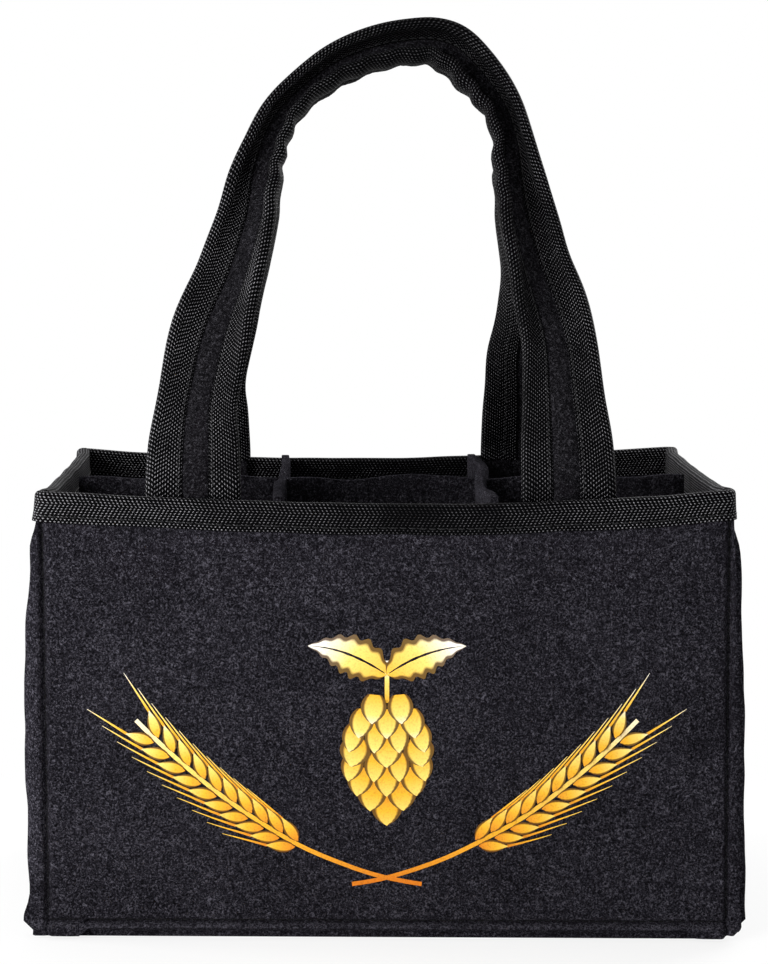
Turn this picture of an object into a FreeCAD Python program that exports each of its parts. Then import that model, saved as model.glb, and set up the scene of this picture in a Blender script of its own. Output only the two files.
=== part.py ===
"""Felt carry bag with six compartments and two looped handles.

Millimetres. The origin is on the floor below the middle of the bag, +Z is up, +X runs along the
front panel and the front panel faces -Y. The driving sizes are the cells of the sheet.
"""
import FreeCAD, Part
import math
import os

import Sketcher
from FreeCAD import Placement, Rotation, Vector

doc = FreeCAD.newDocument("carrier")
sheet = doc.addObject("Spreadsheet::Sheet", "sizes")

# Driving sizes: name, value, what it is
DRIVING = [
    ("bag_width", 248, "over the turned side edges, at the foot"),
    ("bag_top_width", 240.5, "over the turned side edges, at the rim"),
    ("foot_fin", 7.6, "how far a turned side edge stands out from its wall, at the foot"),
    ("rim_fin", 3.05, "the same at the rim"),
    ("bag_depth", 160, "over the front and back panels"),
    ("wall_height", 155, "floor to the felt's top edge"),
    ("felt", 3, "thickness of the panels"),
    ("margin_reveal", 1.5, "turned side edge past the front panel's edge"),
    ("foot_reveal", 3, "turned bottom edge below the walls"),
    ("bottom_turn", 7, "how far the bottom's edges turn down"),
    ("tape", 0.8, "thickness of the woven tape"),
    ("rim_tape_leg", 9.5, "how far the rim tape comes down each face"),
    ("divider_felt", 3, "thickness of the dividers"),
    ("divider_place", 37, "centre line to a cross divider"),
    ("divider_drop", 1.5, "dividers below the felt's top edge"),
    ("tab_reach", 14, "how far the long divider's tabs turn back"),
    ("clearance", 0.3, "between pieces that are not pressed together"),
    ("thread_width", 0.8, "seam thread, across"),
    ("thread_rise", 0.4, "seam thread, above the cloth"),
    ("corner_stitch_gap", 0.6, "side wall to the corner seam"),
    ("bottom_stitch_height", 7.2, "bottom seam above the floor"),
    ("rim_stitch_inset", 2, "rim seam above the tape's lower edge"),
    ("leg_spacing", 128.5, "between the centre lines of a strap's ends"),
    ("handle_rise", 167.5, "flex line to the strap's centre line at the top"),
    ("strap_width", 30, "cut width of the strap's felt"),
    ("strap_felt", 3, "thickness of the strap's felt"),
    ("strap_tape_leg", 10, "how far the edge tape comes in on the strap"),
    ("grip_roll_angle", 150, "half of the arc that the strap is rolled to beside the grip, degrees"),
    ("base_roll_angle", 2, "the same where the strap is sewn in, degrees"),
    ("tail_depth", 14, "strap sewn in below the rim"),
    ("hinge_lift", 1.6, "flex line of the strap above the rim"),
    ("meeting_gap", 0.6, "between the two straps where they lean together"),
]

# Places that follow from the driving sizes: name, formula
WORKED_OUT = [
    ("zero", "0"),
    ("wall_span", "bag_width - 2 * foot_fin"),
    ("wall_top_span", "bag_top_width - 2 * rim_fin"),
    # sideways run per height: of the front panel's edges, inward, and of the side walls, outward
    ("lean", "(bag_width - bag_top_width) / 2 / wall_height"),
    ("flare", "(wall_top_span - wall_span) / 2 / wall_height"),
    ("panel_out", "bag_depth / 2"),
    ("panel_in", "panel_out - felt"),
    ("flange_in", "panel_in - felt"),
    ("web_end", "panel_in - tape - clearance"),
    ("rim_top", "wall_height + tape"),
    ("tape_foot", "wall_height - rim_tape_leg"),
    ("flange_top", "tape_foot - clearance"),
    ("floor_top", "bottom_turn + felt"),
    # half widths of the side wall and of its turned edges, at the heights that matter
    ("margin_foot", "bag_width / 2 - lean * foot_reveal"),
    ("margin_top", "bag_width / 2 - lean * flange_top"),
    ("panel_foot", "margin_foot - margin_reveal"),
    ("panel_rim", "bag_top_width / 2 - margin_reveal"),
    ("web_out_foot", "wall_span / 2 + flare * foot_reveal"),
    ("web_out_floor", "wall_span / 2 + flare * floor_top"),
    ("web_out_flange", "wall_span / 2 + flare * flange_top"),
    ("web_out_tape", "wall_span / 2 + flare * tape_foot"),
    ("web_out_rim", "wall_top_span / 2"),
    ("web_in_foot", "web_out_foot - felt"),
    ("web_in_floor", "web_out_floor - felt"),
    ("web_in_flange", "web_out_flange - felt"),
    ("web_in_tape", "web_out_tape - felt"),
    ("web_in_divider", "web_out_rim - flare * divider_drop - felt"),
    ("web_in_rim", "web_out_rim - felt"),
    # bottom
    ("tray_half", "min(web_in_foot; web_in_floor) - clearance"),
    ("tray_inner_half", "tray_half - felt"),
    ("tray_inner_depth", "panel_in - felt"),
    # rim tape
    ("tape_out", "panel_out + tape"),
    ("tape_in", "panel_in - tape"),
    ("front_tape_length", "2 * (panel_rim + lean * rim_tape_leg)"),
    ("side_tape_length", "2 * web_end"),
    ("side_tape_out_foot", "web_out_tape + tape"),
    ("side_tape_out_top", "web_out_rim + tape + flare * tape"),
    ("side_tape_in_foot", "web_in_tape - tape"),
    ("side_tape_in_top", "web_in_rim - tape + flare * tape"),
    # dividers
    ("divider_top", "wall_height - divider_drop"),
    ("divider_half", "divider_felt / 2"),
    ("long_slot_foot", "(floor_top + divider_top) / 2"),
    ("cross_slot_top", "long_slot_foot + clearance"),
    ("slot_half", "divider_half + clearance"),
    ("slot_near", "divider_place - slot_half"),
    ("slot_far", "divider_place + slot_half"),
    ("long_end_foot", "web_in_floor - tape - clearance"),
    ("long_end_top", "web_in_divider - tape - clearance"),
    ("tab_end", "divider_half + tab_reach"),
    ("tab_in_foot", "web_in_floor - divider_felt"),
    ("tab_in_top", "web_in_flange - divider_felt"),
    # seams
    ("rim_stitch_foot", "tape_foot + rim_stitch_inset"),
    ("rim_stitch_head", "rim_stitch_foot + thread_width"),
    ("rim_stitch_in_foot", "side_tape_out_foot + flare * rim_stitch_inset"),
    ("rim_stitch_in_head", "rim_stitch_in_foot + flare * thread_width"),
    ("rim_stitch_out_foot", "rim_stitch_in_foot + thread_rise"),
    ("rim_stitch_out_head", "rim_stitch_in_head + thread_rise"),
    ("bottom_stitch_head", "bottom_stitch_height + thread_width"),
    ("bottom_stitch_depth", "2 * (flange_in - clearance)"),
    ("bottom_stitch_in_foot", "wall_span / 2 + flare * bottom_stitch_height"),
    ("bottom_stitch_in_head", "bottom_stitch_in_foot + flare * thread_width"),
    ("bottom_stitch_out_foot", "bottom_stitch_in_foot + thread_rise"),
    ("bottom_stitch_out_head", "bottom_stitch_in_head + thread_rise"),
    ("corner_in_foot", "bottom_stitch_in_head + corner_stitch_gap"),
    ("corner_out_foot", "corner_in_foot + thread_width"),
    ("bottom_stitch_length", "2 * corner_out_foot"),
    ("corner_in_head", "web_out_flange + corner_stitch_gap"),
    ("corner_out_head", "corner_in_head + thread_width"),
    ("tab_stitch_place", "divider_half + tab_reach / 2"),
    ("tab_stitch_in_foot", "web_out_floor"),
    ("tab_stitch_in_head", "web_out_flange"),
    ("tab_stitch_out_foot", "tab_stitch_in_foot + thread_rise"),
    ("tab_stitch_out_head", "tab_stitch_in_head + thread_rise"),
    # handles: flex line, the strap's distance inside it and how far the loops lean together
    ("axis_y", "panel_out - felt / 2"),
    ("axis_z", "rim_top + hinge_lift"),
    ("setback", "felt / 2 + tape + clearance + strap_felt / 2"),
    ("strap_face", "strap_felt / 2 + clearance + tape"),
    ("grip_radius", "strap_width / 2 / (grip_roll_angle * pi / 180)"),
    ("grip_inset", "grip_radius - setback"),
    ("grip_reach", "sqrt(handle_rise * handle_rise + grip_inset * grip_inset)"),
    ("grip_room", "axis_y - meeting_gap / 2 - grip_radius - strap_face"),
    ("handle_lean", "asin(grip_room / grip_reach) + atan(grip_inset / handle_rise)"),
    ("tail_top", "axis_z - (setback + strap_face) * sin(handle_lean) - clearance"),
    ("tail_foot", "rim_top - tail_depth"),
    ("tail_height", "tail_top - tail_foot"),
    ("tail_face", "axis_y - setback + strap_felt / 2"),
    ("tail_side", "(leg_spacing - strap_width) / 2"),
]

# Centre line and roll of a strap, from its left end over the top to its right end: across as a
# share of half the leg spacing, up as a share of the rise, and roll from sewn end to grip
STRAP_SHARES = [
    (-1.000, 0.00, 0.00),
    (-0.970, 0.12, 0.04),
    (-0.930, 0.22, 0.14),
    (-0.860, 0.36, 0.32),
    (-0.800, 0.48, 0.49),
    (-0.735, 0.60, 0.66),
    (-0.650, 0.72, 0.93),
    (-0.550, 0.80, 1.00),
    (-0.430, 0.87, 0.98),
    (-0.220, 0.94, 0.92),
    (0.030, 0.98, 0.86),
    (0.260, 1.00, 0.85),
    (0.400, 0.98, 0.86),
    (0.525, 0.93, 0.92),
    (0.640, 0.84, 1.00),
    (0.720, 0.72, 1.00),
    (0.775, 0.58, 0.78),
    (0.840, 0.47, 0.57),
    (0.925, 0.36, 0.34),
    (0.975, 0.23, 0.15),
    (0.997, 0.11, 0.04),
    (1.000, 0.00, 0.00),
]

# Halfway along a smooth curve: weights of the two stations beside it and of the two beyond
CURVE_NEAR_SHARE = 9 / 16
CURVE_FAR_SHARE = 1 / 16

for row, (name, number, note) in enumerate(DRIVING, start=1):
    sheet.set(f"A{row}", note)
    sheet.set(f"B{row}", str(number))
    sheet.setAlias(f"B{row}", name)
for row, (name, formula) in enumerate(WORKED_OUT, start=len(DRIVING) + 1):
    sheet.set(f"B{row}", "=" + formula)
    sheet.setAlias(f"B{row}", name)
doc.recompute()


def size(name):
    """Value of a named size; a leading minus turns it round."""
    sign = -1 if name.startswith("-") else 1
    return sign * float(sheet.get(name.lstrip("-")))


def bound(name):
    """Formula that ties a dimension to a named size."""
    sign = "-" if name.startswith("-") else ""
    return f"{sign}sizes.{name.lstrip('-')}"


def new_body(label):
    body = doc.addObject("PartDesign::Body", label)
    body.Label = label
    return body


def outline(body, plane_role, corners, height="zero"):
    """Closed sketch through named corners, on a plane of the body's own, lifted by a named size."""
    sketch = body.newObject("Sketcher::SketchObject", f"{body.Name}_outline")
    plane = [part for part in body.Origin.OriginFeatures if part.Role == plane_role][0]
    sketch.AttachmentSupport = [(plane, "")]
    sketch.MapMode = "FlatFace"
    sketch.setExpression("AttachmentOffset.Base.z", bound(height))
    points = [Vector(size(across), size(up), 0) for across, up in corners]
    for start, end in zip(points, points[1:] + points[:1]):
        sketch.addGeometry(Part.LineSegment(start, end), False)
    for line in range(len(points)):
        following = (line + 1) % len(points)
        sketch.addConstraint(Sketcher.Constraint("Coincident", line, 2, following, 1))
    for line, corner in enumerate(corners):
        for kind, name in zip(("DistanceX", "DistanceY"), corner):
            rule = sketch.addConstraint(Sketcher.Constraint(kind, -1, 1, line, 1, size(name)))
            sketch.setExpression(f"Constraints[{rule}]", bound(name))
    return sketch


def pad(body, sketch, length, symmetric=False):
    feature = body.newObject("PartDesign::Pad", f"{body.Name}_pad")
    feature.Profile = sketch
    feature.SideType = "Symmetric" if symmetric else "One side"
    feature.setExpression("Length", bound(length))
    return feature


def loft(body, lower, upper):
    feature = body.newObject("PartDesign::AdditiveLoft", f"{body.Name}_loft")
    feature.Profile = lower
    feature.Sections = [upper]
    feature.Ruled = True
    return feature


def rectangle(left, right, near, far):
    return [(left, near), (right, near), (right, far), (left, far)]


def box(label, corner, length, width, height):
    """Box from its lowest corner, with named sizes."""
    block = doc.addObject("Part::Box", label)
    block.Label = label
    for axis, name in zip("xyz", corner):
        block.setExpression(f"Placement.Base.{axis}", name)
    block.setExpression("Length", bound(length))
    block.setExpression("Width", bound(width))
    block.setExpression("Height", bound(height))
    return block


def mirrored(source, label, across):
    copy = doc.addObject("Part::Mirroring", label)
    copy.Label = label
    copy.Source = source
    copy.Normal = across
    return copy


def group(label, members):
    compound = doc.addObject("Part::Compound", label)
    compound.Label = label
    compound.Links = members
    return compound


LEFT_RIGHT = Vector(1, 0, 0)
FRONT_BACK = Vector(0, 1, 0)


def make_panels():
    front = new_body("front_panel")
    sheet_edge = [("-panel_foot", "foot_reveal"), ("panel_foot", "foot_reveal"),
                  ("panel_rim", "wall_height"), ("-panel_rim", "wall_height")]
    pad(front, outline(front, "XZ_Plane", sheet_edge, "panel_in"), "felt")
    return [front, mirrored(front, "back_panel", FRONT_BACK)]


def side_profile(web_in, web_out, margin):
    """Plan of a side wall whose two upright edges turn outward."""
    near = [(web_in, "-panel_in"), (margin, "-panel_in"), (margin, "-flange_in"), (web_out, "-flange_in")]
    far = [(web_out, "flange_in"), (margin, "flange_in"), (margin, "panel_in"), (web_in, "panel_in")]
    return near + far


def make_sides():
    right = new_body("right_side_panel")
    at_foot = side_profile("web_in_foot", "web_out_foot", "margin_foot")
    at_top = side_profile("web_in_flange", "web_out_flange", "margin_top")
    loft(right, outline(right, "XY_Plane", at_foot, "foot_reveal"),
         outline(right, "XY_Plane", at_top, "flange_top"))
    under_tape = rectangle("web_in_flange", "web_out_flange", "-web_end", "web_end")
    at_rim = rectangle("web_in_rim", "web_out_rim", "-web_end", "web_end")
    loft(right, outline(right, "XY_Plane", under_tape, "flange_top"),
         outline(right, "XY_Plane", at_rim, "wall_height"))
    return [right, mirrored(right, "left_side_panel", LEFT_RIGHT)]


def make_bottom():
    bottom = new_body("bottom_panel")
    cut = rectangle("-tray_half", "tray_half", "-panel_in", "panel_in")
    pad(bottom, outline(bottom, "XY_Plane", cut), "floor_top")
    hollow = rectangle("-tray_inner_half", "tray_inner_half", "-tray_inner_depth", "tray_inner_depth")
    pocket = bottom.newObject("PartDesign::Pocket", "bottom_hollow")
    pocket.Profile = outline(bottom, "XY_Plane", hollow)
    pocket.Reversed = True
    pocket.setExpression("Length", bound("bottom_turn"))
    return [bottom]


def make_dividers():
    long = new_body("long_divider")
    right_slot = [("slot_far", "divider_top"), ("slot_far", "long_slot_foot"),
                  ("slot_near", "long_slot_foot"), ("slot_near", "divider_top")]
    left_slot = [("-" + across, up) for across, up in reversed(right_slot)]
    edge = [("-long_end_foot", "floor_top"), ("long_end_foot", "floor_top")]
    edge += [("long_end_top", "divider_top")] + right_slot + left_slot + [("-long_end_top", "divider_top")]
    pad(long, outline(long, "XZ_Plane", edge), "divider_felt", symmetric=True)
    for side in ("", "-"):
        foot = rectangle(side + "tab_in_foot", side + "web_in_floor", "-divider_half", "tab_end")
        top = rectangle(side + "tab_in_top", side + "web_in_flange", "-divider_half", "tab_end")
        loft(long, outline(long, "XY_Plane", foot, "floor_top"),
             outline(long, "XY_Plane", top, "flange_top"))

    cross = new_body("right_cross_divider")
    edge = [("-web_end", "floor_top"), ("-slot_half", "floor_top"), ("-slot_half", "cross_slot_top"),
            ("slot_half", "cross_slot_top"), ("slot_half", "floor_top"), ("web_end", "floor_top"),
            ("web_end", "divider_top"), ("-web_end", "divider_top")]
    pad(cross, outline(cross, "YZ_Plane", edge, "divider_place"), "divider_felt", symmetric=True)
    return [long, cross, mirrored(cross, "left_cross_divider", LEFT_RIGHT)]


def make_rim_tapes():
    front = new_body("rim_binding_front")
    fold = [("-tape_out", "tape_foot"), ("-panel_out", "tape_foot"), ("-panel_out", "wall_height"),
            ("-panel_in", "wall_height"), ("-panel_in", "tape_foot"), ("-tape_in", "tape_foot"),
            ("-tape_in", "rim_top"), ("-tape_out", "rim_top")]
    pad(front, outline(front, "YZ_Plane", fold), "front_tape_length", symmetric=True)

    right = new_body("rim_binding_right")
    fold = [("side_tape_in_foot", "tape_foot"), ("web_in_tape", "tape_foot"),
            ("web_in_rim", "wall_height"), ("web_out_rim", "wall_height"),
            ("web_out_tape", "tape_foot"), ("side_tape_out_foot", "tape_foot"),
            ("side_tape_out_top", "rim_top"), ("side_tape_in_top", "rim_top")]
    pad(right, outline(right, "XZ_Plane", fold), "side_tape_length", symmetric=True)
    return [front, mirrored(front, "rim_binding_back", FRONT_BACK),
            right, mirrored(right, "rim_binding_left", LEFT_RIGHT)]


def front_stitch(label, face, length, height):
    """Straight run of thread on a flat front face, and the same behind."""
    corner = (f"-sizes.{length} / 2", f"-sizes.{face} - sizes.thread_rise", f"sizes.{height}")
    run = box(f"{label}_front", corner, length, "thread_rise", "thread_width")
    return [run, mirrored(run, f"{label}_rear", FRONT_BACK)]


def side_stitch(label, foot, head, length, place="zero"):
    """Run of thread on a leaning side wall; its corners carry the seam's own name."""
    run = new_body(f"{label}_right")
    corners = [(f"{label}_in_foot", foot), (f"{label}_out_foot", foot),
               (f"{label}_out_head", head), (f"{label}_in_head", head)]
    pad(run, outline(run, "XZ_Plane", corners, place), length, symmetric=True)
    return [run, mirrored(run, f"{label}_left", LEFT_RIGHT)]


def make_seams():
    rim = front_stitch("rim_stitch", "tape_out", "front_tape_length", "rim_stitch_foot")
    rim += side_stitch("rim_stitch", "rim_stitch_foot", "rim_stitch_head", "side_tape_length")
    foot = front_stitch("bottom_stitch", "panel_out", "bottom_stitch_length", "bottom_stitch_height")
    foot += side_stitch("bottom_stitch", "bottom_stitch_height", "bottom_stitch_head", "bottom_stitch_depth")
    tabs = side_stitch("tab_stitch", "floor_top", "flange_top", "thread_width", "-tab_stitch_place")

    run = new_body("corner_stitch")
    line = [("corner_in_foot", "bottom_stitch_head"), ("corner_out_foot", "bottom_stitch_head"),
            ("corner_out_head", "flange_top"), ("corner_in_head", "flange_top")]
    pad(run, outline(run, "XZ_Plane", line, "panel_out"), "thread_rise")
    pair = group("corner_stitch_pair", [run, mirrored(run, "corner_stitch_left", LEFT_RIGHT)])
    corners = [pair, mirrored(pair, "corner_stitch_back", FRONT_BACK)]
    return [group("rim_seam_thread", rim), group("bottom_seam_thread", foot),
            group("corner_seam_thread", corners), group("divider_seam_thread", tabs)]


def make_tails():
    right = box("tail_right", ("sizes.tail_side", "-sizes.tail_face", "sizes.tail_foot"),
                "strap_width", "strap_felt", "tail_height")
    front = group("front_handle_tails", [right, mirrored(right, "tail_left", LEFT_RIGHT)])
    return [front, mirrored(front, "rear_handle_tails", FRONT_BACK)]


def smooth_shares():
    """The chosen stations with one more between each two, on a smooth curve through all of them."""
    shares = [Vector(*share) for share in STRAP_SHARES]
    before = shares[:1] + shares[:-2]
    after = shares[2:] + shares[-1:]
    smooth = []
    for start, end, earlier, later in zip(shares, shares[1:], before, after):
        smooth.append(start)
        smooth.append((start + end) * CURVE_NEAR_SHARE - (earlier + later) * CURVE_FAR_SHARE)
    return smooth + shares[-1:]


def strap_stations():
    """Centre, direction across the strap and roll at each station, in the upright handle's plane."""
    half_span = size("leg_spacing") / 2
    shares = smooth_shares()
    centres = [Vector(share.x * half_span, 0, share.y * size("handle_rise")) for share in shares]
    stations = []
    earlier = centres[:1] + centres
    later = centres[1:] + centres[-1:]
    for share, centre, before, after in zip(shares, centres, earlier, later):
        ahead = (after - before).normalize()
        if share.y == 0:
            ahead = Vector(0, 0, -1 if share.x > 0 else 1)
        outward = Vector(-ahead.z, 0, ahead.x)
        roll = size("base_roll_angle") + share.z * (size("grip_roll_angle") - size("base_roll_angle"))
        stations.append((centre, outward, math.radians(roll)))
    return stations


def rolled_point(station, along, depth):
    """Point of a rolled strap: along its width from the middle, and depth behind its middle layer."""
    centre, outward, roll = station
    radius = size("strap_width") / 2 / roll
    angle = along / radius
    reach = radius + depth
    back = size("setback") - radius + reach * math.cos(angle)
    return centre + outward * (reach * math.sin(angle)) + Vector(0, back, 0)


def rolled_section(station, corners):
    """Closed wire through (along, depth) corners: arcs along the strap's width, lines through it."""
    edges = []
    for (along0, depth0), (along1, depth1) in zip(corners, corners[1:] + corners[:1]):
        start = rolled_point(station, along0, depth0)
        end = rolled_point(station, along1, depth1)
        if depth0 == depth1:
            middle = rolled_point(station, (along0 + along1) / 2, depth0)
            edges.append(Part.Arc(start, middle, end).toShape())
        else:
            edges.append(Part.LineSegment(start, end).toShape())
    return Part.Wire(edges)


def leaned_loft(label, corners):
    """Strap piece through all stations, turned about the flex line to where the loops meet."""
    piece = doc.addObject("Part::Feature", label)
    piece.Label = label
    sections = [rolled_section(station, corners) for station in strap_stations()]
    piece.Shape = Part.makeLoft(sections, True, True)
    axis = Vector(0, -size("axis_y"), size("axis_z"))
    piece.Placement = Placement(axis, Rotation(LEFT_RIGHT, -size("handle_lean")))
    return piece


def make_handles():
    half = size("strap_width") / 2
    skin = size("strap_felt") / 2
    room = skin + size("clearance")
    face = size("strap_face")
    leg = half - size("strap_tape_leg")
    fold = half + size("clearance")
    edge = fold + size("tape")
    felt_corners = [(-half, -skin), (half, -skin), (half, skin), (-half, skin)]
    tape_corners = [(leg, face), (edge, face), (edge, -face), (leg, -face),
                    (leg, -room), (fold, -room), (fold, room), (leg, room)]
    inner_corners = [(-along, depth) for along, depth in tape_corners]
    front = [leaned_loft("front_handle_strap", felt_corners),
             leaned_loft("front_handle_outer_binding", tape_corners),
             leaned_loft("front_handle_inner_binding", inner_corners)]
    rear = [mirrored(piece, piece.Label.replace("front", "rear"), FRONT_BACK) for piece in front]
    return front + rear


parts = make_panels() + make_sides() + make_bottom() + make_dividers() + make_rim_tapes()
parts += make_seams() + make_tails() + make_handles()
doc.recompute()

for item in doc.Objects:
    if "Invalid" in item.State or "Error" in item.State:
        raise RuntimeError(f"{item.Label} did not build: {item.State}")
for part in parts:
    if part.Shape.isNull() or not part.Shape.isValid():
        raise RuntimeError(f"{part.Label} has no valid shape")

os.makedirs("parts", exist_ok=True)
for part in parts:
    part.Shape.exportStep(os.path.join("parts", part.Label + ".step"))
    limits = part.Shape.BoundBox
    print(f"{part.Label}: {len(part.Shape.Solids)} solids, {part.Shape.Volume:.0f} mm3, "
          f"x {limits.XMin:.1f} to {limits.XMax:.1f}, y {limits.YMin:.1f} to {limits.YMax:.1f}, "
          f"z {limits.ZMin:.1f} to {limits.ZMax:.1f}")
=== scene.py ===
# %% [markdown]
# # A felt bag with six compartments
# The bag is sewn from thick charcoal felt and bound with black woven tape. It has two looped
# handles and three slotted dividers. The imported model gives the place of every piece, and this
# lesson dresses it: each panel, tape, strap and stitch is made again as the soft thing it is.

# %% Load the frame
import math

import bpy
from mathutils import Matrix, Vector, noise


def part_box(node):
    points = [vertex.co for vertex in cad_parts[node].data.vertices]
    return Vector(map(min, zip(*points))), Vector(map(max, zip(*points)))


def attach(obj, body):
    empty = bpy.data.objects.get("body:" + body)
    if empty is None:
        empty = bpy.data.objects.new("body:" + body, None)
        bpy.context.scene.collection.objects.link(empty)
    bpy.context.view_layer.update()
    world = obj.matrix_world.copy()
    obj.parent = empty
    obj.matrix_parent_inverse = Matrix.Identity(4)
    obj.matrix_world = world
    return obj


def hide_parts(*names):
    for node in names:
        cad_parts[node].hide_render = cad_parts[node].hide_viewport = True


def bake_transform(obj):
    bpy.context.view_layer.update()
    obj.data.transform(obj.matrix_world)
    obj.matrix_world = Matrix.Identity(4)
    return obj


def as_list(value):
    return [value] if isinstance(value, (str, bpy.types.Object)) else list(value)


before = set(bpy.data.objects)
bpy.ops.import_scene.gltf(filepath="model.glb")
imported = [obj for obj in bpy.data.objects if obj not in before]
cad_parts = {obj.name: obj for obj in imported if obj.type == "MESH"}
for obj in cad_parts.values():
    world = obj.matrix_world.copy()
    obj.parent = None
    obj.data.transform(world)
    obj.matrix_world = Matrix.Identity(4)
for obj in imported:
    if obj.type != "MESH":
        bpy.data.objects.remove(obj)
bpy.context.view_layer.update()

MM = 0.001

# %% [markdown]
# The camera comes first. It stands about a metre away, a little left of the middle and above the
# rim, and looks slightly down, so the back rim shows over the front one. A long lens keeps the
# sides nearly straight.

# %% Camera
PICTURE_HEIGHT = 964
FOCAL_PIXELS = 2660
SENSOR = 36
CAMERA_PLACE = (-0.0198, -0.980, 0.2556)
CAMERA_PITCH = math.radians(6.09)
CAMERA_YAW = math.radians(1.2)


def add_camera():
    bpy.ops.object.camera_add(location=CAMERA_PLACE,
                              rotation=(math.pi / 2 - CAMERA_PITCH, 0, -CAMERA_YAW))
    camera = bpy.context.active_object
    camera.data.sensor_width = SENSOR
    camera.data.lens = FOCAL_PIXELS * SENSOR / PICTURE_HEIGHT
    bpy.context.scene.camera = camera
    return camera


print("lens", round(add_camera().data.lens, 2), "mm")

# %% [markdown]
# Every finish is a small tree of shader nodes. A few helpers keep the trees short to write: one
# sets a node's sockets, one does a sum, one reads a noise, one turns a number into a colour, and
# one raises the surface through a bump.

# %% Node helpers
def set_inputs(node, values):
    for name, value in values.items():
        node.inputs[name].default_value = value
    return node


def new_finish(name):
    """A new material, its tree of nodes and its shader."""
    finish = bpy.data.materials.new(name)
    finish.use_nodes = True
    return finish, finish.node_tree, finish.node_tree.nodes["Principled BSDF"]


def number(tree, operation, first, second=None, third=None, clamp=False):
    """A Math node; each input is a socket or a plain number."""
    node = tree.nodes.new("ShaderNodeMath")
    node.operation = operation
    node.use_clamp = clamp
    for socket, value in zip(node.inputs, (first, second, third)):
        if value is None:
            continue
        if isinstance(value, (int, float)):
            socket.default_value = value
        else:
            tree.links.new(value, socket)
    return node.outputs[0]


def coordinates(tree, kind="Object"):
    return tree.nodes.new("ShaderNodeTexCoord").outputs[kind]


def parts_of(tree, place):
    """X, Y and Z of a place, each a socket of its own."""
    split = tree.nodes.new("ShaderNodeSeparateXYZ")
    tree.links.new(place, split.inputs[0])
    return split.outputs


def noise_at(tree, place, scale, detail=2.0, rough=0.5, distort=0.0):
    node = set_inputs(tree.nodes.new("ShaderNodeTexNoise"),
                      {"Scale": scale, "Detail": detail, "Roughness": rough, "Distortion": distort})
    tree.links.new(place, node.inputs["Vector"])
    return node.outputs["Fac"]


def stretched(tree, value, gain):
    """Noise spread to the whole range from 0 to 1."""
    return number(tree, "MULTIPLY_ADD", value, gain, 0.5 - gain / 2, clamp=True)


def shifted(tree, place, by):
    """The same coordinates, moved, so that a second noise differs from the first."""
    node = set_inputs(tree.nodes.new("ShaderNodeMapping"), {"Location": by})
    tree.links.new(place, node.inputs["Vector"])
    return node.outputs["Vector"]


def tone(tree, share, *stops):
    """Colour ramp through (place, colour) stops."""
    ramp = tree.nodes.new("ShaderNodeValToRGB")
    marks = ramp.color_ramp.elements
    while len(marks) < len(stops):
        marks.new(0.5)
    for mark, (place, colour) in zip(marks, stops):
        mark.position = place
        mark.color = (*colour, 1)
    tree.links.new(share, ramp.inputs["Fac"])
    return ramp.outputs["Color"]


def raise_surface(tree, shader, height, strength, distance):
    """Bumps a finish by a height; a bump is a strength and a distance in metres."""
    bump = set_inputs(tree.nodes.new("ShaderNodeBump"),
                      {"Strength": strength, "Distance": distance})
    tree.links.new(height, bump.inputs["Height"])
    tree.links.new(bump.outputs["Normal"], shader.inputs["Normal"])


# %% [markdown]
# The studio is a pale floor, a white surround and five soft lamps. The main lamp stands near, at
# the front left, so the light falls off towards the right side of the bag. The lamp at the far left
# brightens the curled corner fins, and those above and behind pick out the rim and the handles. The
# floor takes the shadow near the bag and fades to plain white further out.

# %% Studio
FLOOR_SIZE = 8
PAPER = (0.94, 0.94, 0.94, 1)
WHITE = (1, 1, 1, 1)
SHADOW_NEAR = 0.13
SHADOW_FAR = 0.25
SHADOW_LIFT = 0.82
AROUND_LIGHT = 0.30


def seen_directly(tree):
    """1 for rays from the camera, and for those that come by a mirror or through glass."""
    path = tree.nodes.new("ShaderNodeLightPath").outputs
    total = path["Is Camera Ray"]
    for name in ("Is Glossy Ray", "Is Transmission Ray"):
        total = number(tree, "MAXIMUM", total, path[name])
    return total


def show(tree, share, lit, shown, output):
    """Mixes the lit shader by share with the plain one that the camera is shown."""
    mix = tree.nodes.new("ShaderNodeMixShader")
    for source, socket in zip((share, lit.outputs[0], shown.outputs[0]), mix.inputs):
        tree.links.new(source, socket)
    tree.links.new(mix.outputs[0], tree.nodes[output].inputs["Surface"])


def white_surround():
    world = bpy.data.worlds.new("surround")
    bpy.context.scene.world = world
    world.use_nodes = True
    tree = world.node_tree
    lit = set_inputs(tree.nodes["Background"], {"Color": WHITE, "Strength": AROUND_LIGHT})
    shown = set_inputs(tree.nodes.new("ShaderNodeBackground"), {"Color": WHITE, "Strength": 1.0})
    show(tree, seen_directly(tree), lit, shown, "World Output")


def floor_finish():
    finish, tree, paper = new_finish("floor_paper")
    set_inputs(paper, {"Base Color": PAPER, "Roughness": 0.9})
    glow = set_inputs(tree.nodes.new("ShaderNodeEmission"), {"Strength": 1.0})
    reach = tree.nodes.new("ShaderNodeVectorMath")
    reach.operation = "LENGTH"
    tree.links.new(coordinates(tree), reach.inputs[0])
    fade = tree.nodes.new("ShaderNodeMapRange")
    fade.interpolation_type = "SMOOTHSTEP"
    set_inputs(fade, {"From Min": SHADOW_NEAR, "From Max": SHADOW_FAR, "To Min": SHADOW_LIFT})
    tree.links.new(reach.outputs["Value"], fade.inputs["Value"])
    share = number(tree, "MULTIPLY", fade.outputs["Result"], seen_directly(tree))
    show(tree, share, paper, glow, "Material Output")
    return finish


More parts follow.
